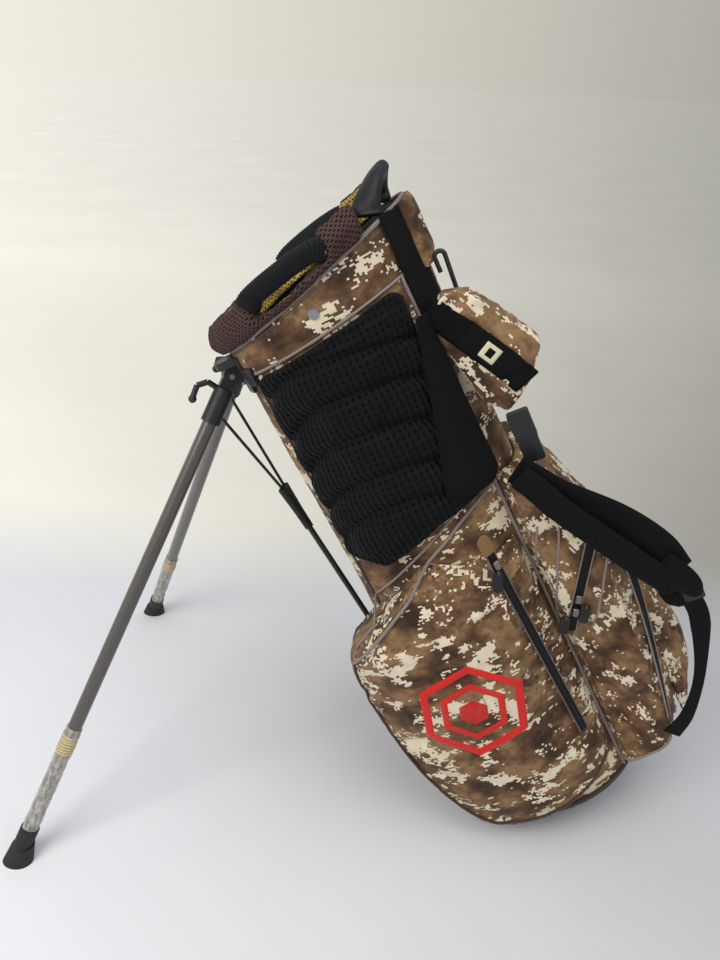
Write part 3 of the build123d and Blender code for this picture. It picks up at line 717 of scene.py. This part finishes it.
def strip_press(start, end, normal, room=9.0, slope=0.45):
    """Holds fabric below a zipper's tape: a shallow valley along its line."""
    a, b, n = (np.array(v) for v in (start, end, normal))
    length = np.linalg.norm(b - a)
    t = (b - a) / length
    s = np.cross(n, t)

    def press(points):
        d = points - a
        along_, side_, high_ = d @ t, np.abs(d @ s), d @ n
        past = np.maximum(0, np.maximum(-along_, along_ - length))
        limit = np.maximum(0, np.hypot(side_, past) - room * MM) * slope - 0.0002
        near = (side_ < 0.07) & (high_ > -0.02) & (high_ > limit)
        return points - np.where(near, high_ - limit, 0)[:, None] * n
    return press


# ---- Cloth body ----
def top_edge(x):
    return BAND_LOW + BAND_LOW_SLOPE * x


def low_edge(x):
    """The panel's lower edge, cut level with the ground over the rocker plate."""
    return max(5.4, (10.4 - ORIGIN[2] - x * SIN) / COS)


def puckered(angle, z, grow=0.0, amount=1.0):
    """A point of the loose cloth wall."""
    p = on_body(angle, z)
    seam = min(abs(abs(angle) - SEAM), abs(abs(angle) - FRONT), 12) / 12
    ends = min(1, max(0, (top_edge(p[0]) - z) / 20), max(0, (z - 5) / 30))
    folds = 1.9 * rough((p[0], p[1], z * 0.55), 48, 2) + 1.0 * rough((p[0], p[1], z * 0.8), 22, 5)
    folds += 0.35 * rough(p, 9, 11)
    return on_body(angle, z, grow + amount * folds * (0.25 + 0.75 * seam * ends))


def panel(name, first, last, columns):
    """One panel of the body's cloth."""
    angles = list(np.linspace(first, last, columns))
    if name == "front_panel":
        slot_half = math.degrees(math.asin(14.2 / BODY_RADIUS))
        near = [180 - slot_half, 180 - slot_half + 0.02, 180 + slot_half - 0.02, 180 + slot_half]
        angles = sorted([a for a in angles if min(abs(a - k) for k in near) > 0.8] + near)
    lines = []
    for angle in angles:
        x_low, x_top = on_body(angle, 20)[0], on_body(angle, 740)[0]
        start, end = low_edge(x_low), top_edge(x_top) - 0.5
        if name == "front_panel" and 180 - slot_half + 0.01 < angle < 180 + slot_half - 0.01:
            start = 77
        lines.append([(angle, puckered(angle, z)) for z in np.linspace(start, end, 190)])
    made = solid_mesh(name + "_cloth", lines, CAMO, 2.4, LINING, stands_for=[name])
    return made


for name, first, last, columns in (
    ("near_panel", -FRONT, -SEAM, 96),
    ("far_panel", SEAM, FRONT, 96),
    ("spine_panel", -SEAM, SEAM, 80),
    ("front_panel", FRONT, 360 - FRONT, 80),
):
    panel(name, first, last, columns)


def band_point(angle, share, grow=1.2):
    """The top band, share of its height up."""
    x = on_body(angle, 765)[0]
    z = (top_edge(x) + 0.6) * (1 - share) + (BAND_TOP + BAND_TOP_SLOPE * x) * share
    p = on_body(angle, z)
    bulge = 1.0 * math.sin(math.pi * share) + 0.5 * rough(p, 30, 3)
    return on_body(angle, z, grow + bulge)


lines = [[(a, band_point(a, share)) for share in np.linspace(0, 1, 16)] for a in np.linspace(-180, 180, 241)]
band = solid_mesh("top_band_cloth", lines, CAMO, 2.4, LINING, stands_for=["top_band"])


def ring(name, share, grow, radius, material):
    line = rows([band_point(a, share, grow) for a in np.linspace(-180, 180, 240, endpoint=False)])
    return cord_line(name, line, radius, material, closed=True)


ring("top_piping", 1.0, 2.2, 2.5, PIPING)
ring("band_topstitch", 0.86, 1.9, 0.55, THREAD)
ring("band_piping", 0.0, 1.4, 1.9, PIPING)


def up_the_bag(name, angle, start, end, grow, radius, material):
    line = rows([puckered(angle, z, grow) for z in np.linspace(start, end, 120)])
    return cord_line(name, line, radius, material)


for sign, tag in ((-1, "near"), (1, "far")):
    seam_top = top_edge(on_body(SEAM, 740)[0])
    up_the_bag(f"{tag}_seam_piping", sign * SEAM, 8, seam_top, 1.6, 2.3, PIPING)
    up_the_bag(f"{tag}_front_piping", sign * FRONT, 24, top_edge(-100), 0.8, 1.5, DARK_PIPING)
line = [on_body(a, max(6.5, low_edge(on_body(a, 8)[0]) + 1.5), 2.0) for a in np.linspace(-128, 128, 160)]
cord_line("base_piping", rows(line), 2.6, DARK_PIPING)

# ---- Mouth, cuff and handles ----
def rolled(points):
    """Swells the cuff's outer face and its top into a fat roll."""
    p = local(points)
    depth, width, centre = body_sizes(780)
    x, y = (p[:, 0] - centre) / depth, p[:, 1] / width
    radial = np.hypot(x, y)
    up_ = np.clip((p[:, 2] - (BAND_TOP + BAND_TOP_SLOPE * p[:, 0])) / CUFF_HIGH, 0, 1.2)
    outer = np.clip((radial - 0.98) / 0.08, 0, 1)
    out = 7.5 * outer * np.sin(math.pi * np.clip(up_ * 0.9 + 0.05, 0, 1))
    unit_x, unit_y = x / radial, y / radial
    return rows(np.stack([p[:, 0] + out * unit_x, p[:, 1] + out * unit_y, p[:, 2] + 3.0 * up_ * outer], -1))


CUFF_HIGH = 36
cuff = stuffed("cuff_roll", "cuff_pad", BROWN_MESH, voxel=4.5, pressure=5, cap=6, hold=3, uv="cuff",
               creases=0.5, presses=[rolled])
cuff.data.materials.append(YELLOW_MESH)
for face in cuff.data.polygons:
    p = local([face.center])[0]
    depth, width, centre = body_sizes(780)
    if math.hypot((p[0] - centre) / (depth - 4), p[1] / (width - 4)) < 0.955:
        face.material_index = 1


def lift_grip(sign, tag):
    """A padded, ribbed strap over the cuff's dip, flared where it is sewn on."""
    path = smooth_path([
        (-60, sign * 104, 801), (-46, sign * 109, 810), (-9, sign * 112, 819), (26, sign * 110, 824),
        (40, sign * 104, 820),
    ], 110)
    path = rows(path)
    section = oval_section(12.2, 7.6, 0.8, 1, 22)
    scale = []
    for k in range(110):
        t = k / 109
        rib = 1 + 0.035 * math.sin(t * 2 * math.pi * 36)
        flare = 1 + 0.16 * (math.exp(-((t - 0.02) / 0.09) ** 2) + math.exp(-((t - 0.98) / 0.09) ** 2))
        scale.append((rib * flare, rib * (0.86 + 0.14 * math.sin(math.pi * t) ** 0.4)))
    side_way = np.array(way(-0.2, 0.45 * sign, 0.9))
    made = sweep(f"lift_grip_{tag}", path, section, side_way, GRIP, scale=scale,
                 stands_for=[f"lift_handle_{tag}"])
    return made


lift_grip(-1, "near")
lift_grip(1, "far")

# The moulded handle at the spine: a curved bar with wide feet.
path = rows(smooth_path([
    (88, -56, 826), (92, -52, 838), (103, -34, 852), (109, 0, 857), (103, 34, 852), (92, 52, 838),
    (88, 56, 826),
], 90))
scale = [(1 + 0.25 * abs(2 * k / 89 - 1) ** 3, 1 + 0.5 * abs(2 * k / 89 - 1) ** 4) for k in range(90)]
sweep("back_grip", path, oval_section(14, 8, 0.7, 0.8, 28), np.array(way(0.85, 0, 0.35)), HANDLE, scale=scale,
      stands_for=["back_handle"])

# ---- Hip pad ----
GROOVES = [
    [(-100, 690), (-80, 704), (-38, 717), (9, 715), (52, 707), (91, 696)],
    [(-96, 636), (-80, 654), (-37, 672), (12, 671), (55, 663), (80, 652)],
    [(-96, 592), (-79, 609), (-36, 624), (13, 623), (50, 614), (80, 600)],
    [(-96, 540), (-81, 555), (-36, 572), (14, 572), (49, 564), (80, 550)],
    [(-94, 500), (-79, 513), (-36, 531), (9, 532), (40, 524), (82, 508)],
]


def channelled(points):
    """Presses the pad's arched channels into its face."""
    lines = point_tree([(x, z, 0) for groove in GROOVES for x, z in smooth_path(groove, 60)])
    p = local(points)
    depth, width, centre = body_sizes(600)
    share = np.hypot((p[:, 0] - centre) / depth, p[:, 1] / width)
    out = np.array(points)
    for k, q in enumerate(p):
        away = lines.find((q[0], q[2], 0))[2]
        outer = min(1, max(0, (share[k] - 1) * BODY_RADIUS / 10))
        sink = 7.5 * math.exp(-(away / 5.2) ** 2) - 1.6 * math.exp(-((away - 22) / 14) ** 2)
        outward = np.array([q[0] - centre, q[1] * 1.3, 0])
        radial = np.array(way(*(outward / max(1, math.hypot(outward[0], outward[1])))))
        out[k] = out[k] - radial * sink * outer * MM
    return out


stuffed("hip_pad_soft", "hip_pad", BLACK_MESH, voxel=4.0, pressure=2.5, cap=3.0, hold=7, uv="round",
        creases=0.2, presses=[channelled])

# ---- Side pockets ----
SIDE_ZIP = ((66.11, -131.12, 456.0), (80.05, -121.51, 134.0), (0.565, -0.8251, 0.0))
BALL_ZIP = ((175.0, -88.0, 380.0), (112.0, -88.0, 266.0), (0.0, -1.0, 0.0))
POCKET_FRONT = [(92, 492), (56, 478), (-18, 436), (-92, 387), (-148, 351)]
POCKET_GUSSET = [(84, 500), (52, 489), (-22, 450), (-98, 402), (-150, 364)]
POCKET_EDGE = [
    (-148, 351), (-158, 320), (-160, 262), (-150, 184), (-128, 116), (-94, 52), (-57, 31), (0, 31), (60, 50),
    (92, 72),
]


def placed(zip_line, sign):
    """A zipper's start, end and normal in the row frame, mirrored for the far side."""
    start, end, normal = ((x, y * sign, z) for x, y, z in zip_line)
    return at(*start), at(*end), way(*normal)


def lips(name, path, out, radius, material):
    """A raised lip of fabric along both sides of a zipper."""
    for k, side in enumerate((-1, 1)):
        cord_line(f"{name}_lip_{k}", path + side * out, radius, material)


def zipper(name, line, width, stands_for, lip=PIPING, garage=0.0):
    """A straight zipper: taped coil between two lips."""
    a, b, n = (np.array(v) for v in line)
    along_ = (b - a) / np.linalg.norm(b - a)
    side_way = np.cross(n, along_)
    path = np.array([a + (b - a) * t + n * 0.7 * MM for t in np.linspace(0, 1, 90)])
    made = sweep(name, path, strap_section(width, 1.2), side_way, ZIPPER, stands_for=stands_for)
    lips(name, path, side_way * (width / 2 + 0.6) * MM, 0.9, lip)
    if garage:
        tip = [a + along_ * t * MM + n * 1.2 * MM for t in np.linspace(-6, garage, 20)]
        taper = [(math.sqrt(max(0.12, 1 - max(0, (5 - k) / 5) ** 2)), 1.0) for k in range(20)]
        sweep(f"{name}_garage", tip, strap_section(width + 6, 2.2), side_way, TAN, scale=taper)
    return made


def piped(name, tree, spots, sign, radius, material, lift=1.0, count=160):
    """Piping laid on a cloth surface along bag frame (x, z) spots."""
    line, _ = dropped(tree, smooth_path(spots, count), sign, lift)
    return cord_line(name, eased(line), radius, material)


MOTIF, MOTIF_TURN = (-30, 244), 0.26


def motif_ring(tree, name, inner, outer):
    """A six-sided ring of satin stitch on the near pocket's face."""
    rings, segments, corner = 5, 6 * 16, math.pi / 6
    spots, uvs = [], []
    for r in np.linspace(inner, outer, rings):
        for k in range(segments):
            a = 2 * math.pi * k / segments + MOTIF_TURN
            reach = r * math.cos(corner) / math.cos(((a - MOTIF_TURN) % (2 * corner)) - corner)
            spots.append((MOTIF[0] + reach * math.cos(a), MOTIF[1] + reach * math.sin(a)))
            uvs.append((a * 0.04, r * MM))
    lifts = [0.25 if k in (0, rings - 1) else 1.3 for k in range(rings) for _ in range(segments)]
    points, normals = dropped(tree, spots)
    points = points + normals * np.array(lifts)[:, None] * MM
    return add_mesh(name, points, tube_faces(rings, segments), uvs, RED)


for sign, tag in ((-1, "near"), (1, "far")):
    line = placed(SIDE_ZIP, -sign)
    pocket = stuffed(
        f"side_pocket_{tag}_soft", f"side_pocket_{tag}", CAMO, voxel=5.0, pressure=4, cap=9, hold=8,
        presses=[strip_press(*line)],
    )
    tree = ready([pocket])
    over_panel = ready([pocket, bpy.data.objects[f"{tag}_panel_cloth"]])
    piped(f"side_pocket_{tag}_front_piping", over_panel, POCKET_FRONT, sign, 2.0, PIPING)
    piped(f"side_pocket_{tag}_gusset_piping", over_panel, POCKET_GUSSET, sign, 1.6, PIPING, lift=0.6)
    piped(f"side_pocket_{tag}_edge_piping", tree, POCKET_EDGE, sign, 2.1, DARK_PIPING, lift=0.8, count=220)
    zipper(f"side_zipper_{tag}_coil", line, 11, [f"side_zipper_{tag}"], THREAD, garage=20)
    if sign < 0:
        motif_ring(tree, "motif_outer", 62, 74)
        motif_ring(tree, "motif_middle", 36, 46)
        motif_ring(tree, "motif_centre", 0.5, 20)

# ---- Ball pocket ----
ball_line = placed(BALL_ZIP, 1)
ball = stuffed("ball_pocket_soft", "ball_pocket", CAMO_BACK, voxel=5.0, pressure=4, cap=7, hold=7,
               presses=[strip_press(*ball_line, room=13)])
stuffed("ball_pocket_outer_soft", "ball_pocket_outer", CAMO_BACK, voxel=4.5, pressure=3, cap=5, hold=5)
zipper("ball_zipper_coil", ball_line, 11, ["ball_zipper"], PIPING)
tree = ready([ball])
for k, spots in enumerate((
    [(124, 424), (112, 392), (106, 364)],
    [(147, 412), (128, 362), (112, 318), (104, 286)],
    [(196, 372), (172, 322), (150, 280), (140, 262)],
)):
    piped(f"ball_pleat_{k}", tree, spots, -1, 1.5, PIPING, lift=0.4)
piped("ball_bottom_piping", tree, [(98, 22), (130, 26), (164, 36), (184, 54), (196, 78)], -1, 2.0, PIPING)
BAND_SPOTS = [(204, 312), (203, 272), (200, 225), (195, 178), (188, 118), (183, 82)]
line, normals = dropped(tree, smooth_path(BAND_SPOTS, 90), -1, 2.4)
share = np.linspace(0, 1, 90)
line = np.stack([np.polyval(np.polyfit(share, line[:, k], 3), share) for k in range(3)], -1)
across_band = np.cross(np.gradient(line, axis=0), normals.mean(0))
wedge = np.linspace(1, 0.28, 90)
scale = np.stack([wedge, np.ones(90)], -1)
sweep("outer_zipper_coil", line, strap_section(18, 1.4), across_band, ZIPPER, scale=scale)
unit = across_band / np.linalg.norm(across_band, axis=1)[:, None]
lips("outer_zipper", line, unit * (9.4 * wedge[:, None]) * MM, 1.3, PIPING)

# ---- Top pocket and straps ----
stuffed("top_pocket_soft", "top_pocket", CAMO, voxel=3.5, pressure=3, cap=3, hold=4, uv="round")

SPINE_STRAP = math.radians(-26.2)
path = rows([on_body(-26.2, z, 3.2 + rough((0, 0, z), 60, 4)) for z in np.linspace(694, 822, 80)])
side_way = np.array(way(-math.sin(SPINE_STRAP), math.cos(SPINE_STRAP) * 0.85, 0))
sweep("spine_webbing", path, strap_section(47, 2.2), side_way, WEB, stands_for=["spine_strap"])

FLAP_TOP, FLAP_LOW = 714, 503
lines = []
for z in np.linspace(FLAP_TOP, FLAP_LOW, 70):
    t = (FLAP_TOP - z) / (FLAP_TOP - FLAP_LOW)
    left, right_edge = -47 - 24 * t, -40.5 + 1.5 * t
    corner = max(0, (t - 0.9) / 0.1)
    left += 9 * corner ** 2
    right_edge -= 4 * corner ** 2
    line = []
    for share in np.linspace(0, 1, 24):
        angle = left + (right_edge - left) * share
        curl = 1.2 * rough((angle * 2, 0, z), 42, 6) + 1.4 * math.sin(math.pi * share) * t - 3.5 * corner ** 2
        line.append((angle, on_body(angle, z, 20.5 + curl)))
    lines.append(line)
flap = solid_mesh("hanging_webbing", lines, BLACK_PLAIN, 2.2, stands_for=["webbing_loop"])
cord_line("hanging_webbing_edge", rows([line[0][1] for line in lines]), 1.0, WEB)

pad = stuffed("shoulder_pad_soft", "shoulder_pad", CAMO_BACK, voxel=3.5, pressure=5, cap=6, hold=4)
pad.data.materials.append(BLACK_PLAIN)
for face in pad.data.polygons:
    p = local([face.center])[0]
    if p[2] - 0.45 * p[0] > 636 and p[0] < 122:
        face.material_index = 1
pad_tree = ready([pad])
line, normals = dropped(pad_tree, smooth_path([(112, 708), (134, 676), (162, 628), (176, 598)], 60), -1, 1.4)
line = eased(line, 5)
across_pad = np.cross(np.gradient(line, axis=0), normals)
sweep("shoulder_pad_band", line, strap_section(33, 2.4), across_pad, BLACK_PLAIN)
mid = line[34]
t = (line[36] - line[32]) / np.linalg.norm(line[36] - line[32])
label = np.array([mid + normals[34] * 1.6 * MM + t * d * MM for d in np.linspace(-10, 10, 8)])
sweep("plain_label", label, strap_section(19, 0.8), across_pad[34], FIBRE)
field = label[2:-2] + normals[34] * 0.35 * MM
sweep("plain_label_field", field, strap_section(10, 0.5), across_pad[34], BLACK_PLAIN)


STRAP_POINTS = 110


def flat_strap(name, spots, width, thickness, material, stands_for=(), scale=None):
    """A band whose face is towards the near side; spots are (x, y, z)."""
    path = rows(smooth_path(spots, STRAP_POINTS))
    side_way = np.cross(np.gradient(path, axis=0), np.array(way(0, -1, 0)))
    made = sweep(name, path, strap_section(width, thickness, 1.2), side_way, material, stands_for=stands_for,
                 scale=scale)
    return made


flat_strap("shoulder_strap_upper", [
    (128, -88, 506), (142, -90, 488), (163, -93, 460), (214, -97, 407), (246, -100, 358), (257, -101, 318),
], 36, 7.0, BLACK_PLAIN, ["strap_loop"])
flat_strap("shoulder_strap_lower", [
    (130, -97, 500), (142, -102, 480), (158, -108, 449), (184, -111, 405), (219, -112, 346), (246, -110, 302),
], 31, 5.0, WEB)
flat_strap("shoulder_strap_fold", [
    (238, -107, 334), (252, -111, 310), (256, -110, 294), (250, -104, 286), (248, -98, 296),
], 42, 5.0, BLACK_PLAIN)
# The loose end turns edge-on to the view along its last three quarters.
twist = [
    (1 - 0.42 * max(0, math.sin(math.pi * (k - 25) / 84)) if k > 25 else 1, 1) for k in range(STRAP_POINTS)
]
flat_strap("loose_webbing", [
    (258, -104, 286), (262, -104, 246), (250, -104, 190), (232, -103, 138), (206, -102, 92), (180, -100, 66),
], 24, 2.0, WEB, ["strap_tail"], scale=twist)

# ---- Legs ----
SPLAY, SWING = math.radians(25.3), math.radians(53.2)


def leg_way(sign):
    """The direction from a leg's hinge to its foot."""
    out = math.sin(SWING)
    return np.array(way(-out * math.cos(SPLAY), sign * out * math.sin(SPLAY), -math.cos(SWING)))


# The far leg gets the paler carbon copy: painted light on the same kind of tube.
for sign, tag, paint in ((-1, "near", CARBON), (1, "far", CARBON_PAINTED_LIGHTER)):
    hinge = np.array(at(-145, sign * 31, 726.4))
    run = leg_way(sign)
    side_way = np.cross(run, (0.2, 0.9, 0.1))
    body = f"leg_{tag}"

    def tube(name, start, end, radius, material, count=60, crumple=0.0, stands_for=(), segments=28):
        """A stretch of the leg between two distances from its hinge; a wrap is crumpled."""
        path = [hinge + run * d * MM for d in np.linspace(start, end, count)]
        section = ring_section(radius, segments)
        made = sweep(name, path, section, side_way, material, body=body, stands_for=stands_for)
        loops = values(made.data.loops, "vertex_index", 1, np.int32)
        layer = made.data.uv_layers.active.data
        uv = values(layer, "uv", 2)
        girth = round(2 * math.pi * radius / 3) * 3 * MM      # a whole number of the weave's cells
        uv[:, 0] = (loops % segments) / segments * girth
        for s in range(0, len(loops), 4):
            quad = uv[s: s + 4, 0]
            if quad.max() - quad.min() > 0.01:
                uv[s: s + 4, 0] = np.where(quad < 0.01, quad + girth, quad)
        layer.foreach_set("uv", uv.ravel())
        if crumple:
            for v in made.data.vertices:
                q = np.array(v.co)
                outward = q - (hinge + run * np.dot(q - hinge, run))
                outward = outward / max(1e-6, np.linalg.norm(outward))
                d = crumple * (noise.noise(Vector(q / MM / 9.0)) + 0.6 * noise.noise(Vector(q / MM / 3.7)))
                v.co = Vector(q + outward * d * MM)
        return made

    tube(f"leg_shaft_{tag}", 33, 671, 9.0, paint, stands_for=[f"leg_tube_{tag}"])
    tube(f"leg_film_{tag}", 494, 655, 10.4, FILM, count=170, crumple=1.1, segments=40,
         stands_for=[f"leg_wrap_{tag}"])
    tube(f"leg_tape_{tag}", 512, 530, 11.0, TAPE, count=24, crumple=0.5, segments=40)
    tube(f"leg_tape_low_{tag}", 505, 511, 10.6, TAPE, count=10, crumple=0.4, segments=40)

# ---- Rings that join the pull tags to their sliders ----
# Each ring is centred on its tag's hinge, so that it clears the zipper at every angle.
HINGE_DOWN, RING_RADIUS = 2.2, 2.3
for tag_node, body, zip_line, side in (
    ("side_tag_near", "near_tag", SIDE_ZIP, 1), ("side_tag_far", "far_tag", SIDE_ZIP, -1),
    ("ball_tag_upper", "upper_tag", BALL_ZIP, 1), ("ball_tag_lower", "lower_tag", BALL_ZIP, 1),
):
    verts_ = values(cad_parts[tag_node].data.vertices, "co")
    n = np.array(placed(zip_line, side)[2])
    plumb = np.array([0, 0, -1.0])
    hang = plumb - n * plumb.dot(n)
    hang /= np.linalg.norm(hang)
    top = verts_[np.argsort(verts_ @ hang)[:8]].mean(0)
    middle = verts_.mean(0)
    middle = middle + hang * ((top - middle) @ hang)
    centre_ = middle + hang * HINGE_DOWN * MM
    ring_line = [centre_ + (hang * math.cos(a) + n * math.sin(a)) * RING_RADIUS * MM for a in around(28)]
    across = np.cross(hang, n)
    sweep(f"{tag_node}_ring", ring_line, ring_section(0.75, 8), across, ZINC, closed=True, body=body)

# ---- Hard parts keep their CAD shapes ----
FINISH = (
    (BLACK, """base_tray rocker_foot mouth_frame leg_bracket leg_head_near leg_head_far buckle_socket
        buckle_plug ladder_lock corner_buckle"""),
    (RUBBER, "boot_near boot_far yoke_sleeve side_tag_near side_tag_far ball_tag_upper ball_tag_lower"),
    (ZINC, "side_slider_near side_slider_far ball_slider_upper ball_slider_lower"),
    (STEEL, "rocker_pin bracket_screws leg_pins hood_snaps"),
    (COATED, "stand_rod wire_near wire_far strap_hook"),
    (LINING, "club_divider"), (FIBRE, "stay_rods"), (BRASS, "vent_eyelets"),
)
for material, names in FINISH:
    for node in names.split():
        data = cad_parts[node].data
        data.materials.clear()
        data.materials.append(material)
        data.polygons.foreach_set("material_index", [0] * len(data.polygons))
        smooth(data)
        data.set_sharp_from_angle(angle=math.radians(32))

# ---- Room, light and camera ----
FLOOR_HALF = 60.0
ROOM_MIDDLE = (-0.143, -0.905)
paper = Paint("pale_paper", roughness=0.85, specular=0.2)
spot = paper.object()
across_floor, along_floor, _ = paper.parts(spot)
cloudy = paper.noise(spot, 1.6, 4, 0.55)
behind = paper.over(paper.minus(along_floor, 0.34), 0.3, clamp=True)
far_off = paper.over(paper.minus(along_floor, 0.6), 2.4, clamp=True)
# The floor and wall colours are dimmed towards the right of the room middle: a painted light falloff,
# brighter on the left.
painted_falloff_side = paper.leaning(
    paper.minus(across_floor, ROOM_MIDDLE[0]), paper.minus(along_floor, ROOM_MIDDLE[1]), 0.9
)
floor_color = paper.mix(cloudy, srgb(222, 223, 228), srgb(234, 234, 236))
floor_color = paper.dimmed(floor_color, paper.times_plus(painted_falloff_side, -0.34, 0.94))
wall_color = paper.mix(cloudy, srgb(208, 205, 194), srgb(222, 219, 208))
wall_color = paper.dimmed(wall_color, paper.times_plus(painted_falloff_side, -0.84, 0.84))
paper.color(paper.mix(behind, floor_color, wall_color))
# Beyond y 0.34 the floor takes the wall colour and glows, more strongly further off: painted light from a
# surface that is no lamp.
paper.set("Emission Color", wall_color)
painted_glow = paper.times(paper.times_plus(far_off, 0.34, 0.27), behind)
paper.set("Emission Strength", painted_glow)
paper.bump(paper.noise(spot, 2.4, 5, 0.5), 0.02, 0.25)
flat = [(x * FLOOR_HALF, y * FLOOR_HALF) for x, y in ((-1, -1), (1, -1), (1, 1), (-1, 1))]
corners = [(x, y, 0.0) for x, y in flat]
floor = add_mesh("paper_floor", corners, [(0, 1, 2, 3)], flat, paper.material, body=None)

world = SCENE.world or bpy.data.worlds.new("room")
SCENE.world = world
world.use_nodes = True
sky = Nodes(world.node_tree)
toward_x, toward_y, toward_z = sky.parts(sky.node("ShaderNodeTexCoord", output="Generated"))
low_sky = sky.dimmed(
    sky.joined(*(1.05 * c for c in srgb(215, 212, 201))),
    sky.times_plus(sky.leaning(toward_x, toward_y, 0.9), -0.84, 0.84),
)
overhead = sky.over(sky.minus(toward_z, 0.1), 0.2, clamp=True)
room_light = tuple(0.45 * c for c in (0.93, 0.96, 1.0))
sky.put(world.node_tree.nodes["Background"].inputs["Color"], sky.mix(overhead, low_sky, room_light))


def lamp(name, place, aim, power, size, color):
    data = bpy.data.lights.new(name, "AREA")
    data.energy = power
    data.size = size
    data.color = color
    made = linked(name, data)
    made.location = place
    made.rotation_mode = "QUATERNION"
    made.rotation_quaternion = (Vector(aim) - Vector(place)).to_track_quat("-Z", "Y")
    made.visible_camera = False
    return made


lamp("window", (-1.5, -1.7, 2.0), (0.0, 0.0, 0.3), 36, 1.5, (1.0, 0.98, 0.95))
lamp("ceiling", (0.3, -0.4, 2.5), (0.1, 0.0, 0.2), 21, 2.0, (1.0, 0.99, 0.97))
lamp("bounce", (1.9, -1.4, 0.9), (0.1, 0.0, 0.3), 6, 1.6, (0.95, 0.97, 1.0))

yaw, pitch, roll = -0.0775, 0.4823, 0.0501
forward = Vector((math.sin(yaw) * math.cos(pitch), math.cos(yaw) * math.cos(pitch), -math.sin(pitch)))
right = Vector((math.cos(yaw), -math.sin(yaw), 0))
up = right.cross(forward)
right_rolled = right * math.cos(roll) + up * math.sin(roll)
up_rolled = -right * math.sin(roll) + up * math.cos(roll)
camera = linked("camera", bpy.data.cameras.new("camera"))
camera.data.lens = 29.35
camera.data.sensor_width = 36
camera.data.clip_start = 0.05
basis = Matrix((right_rolled, up_rolled, -forward)).transposed().to_4x4()
basis.translation = Vector((-0.1434, -0.9048, 0.9393))
camera.matrix_world = basis
SCENE.camera = camera
SCENE.view_settings.view_transform = "Standard"
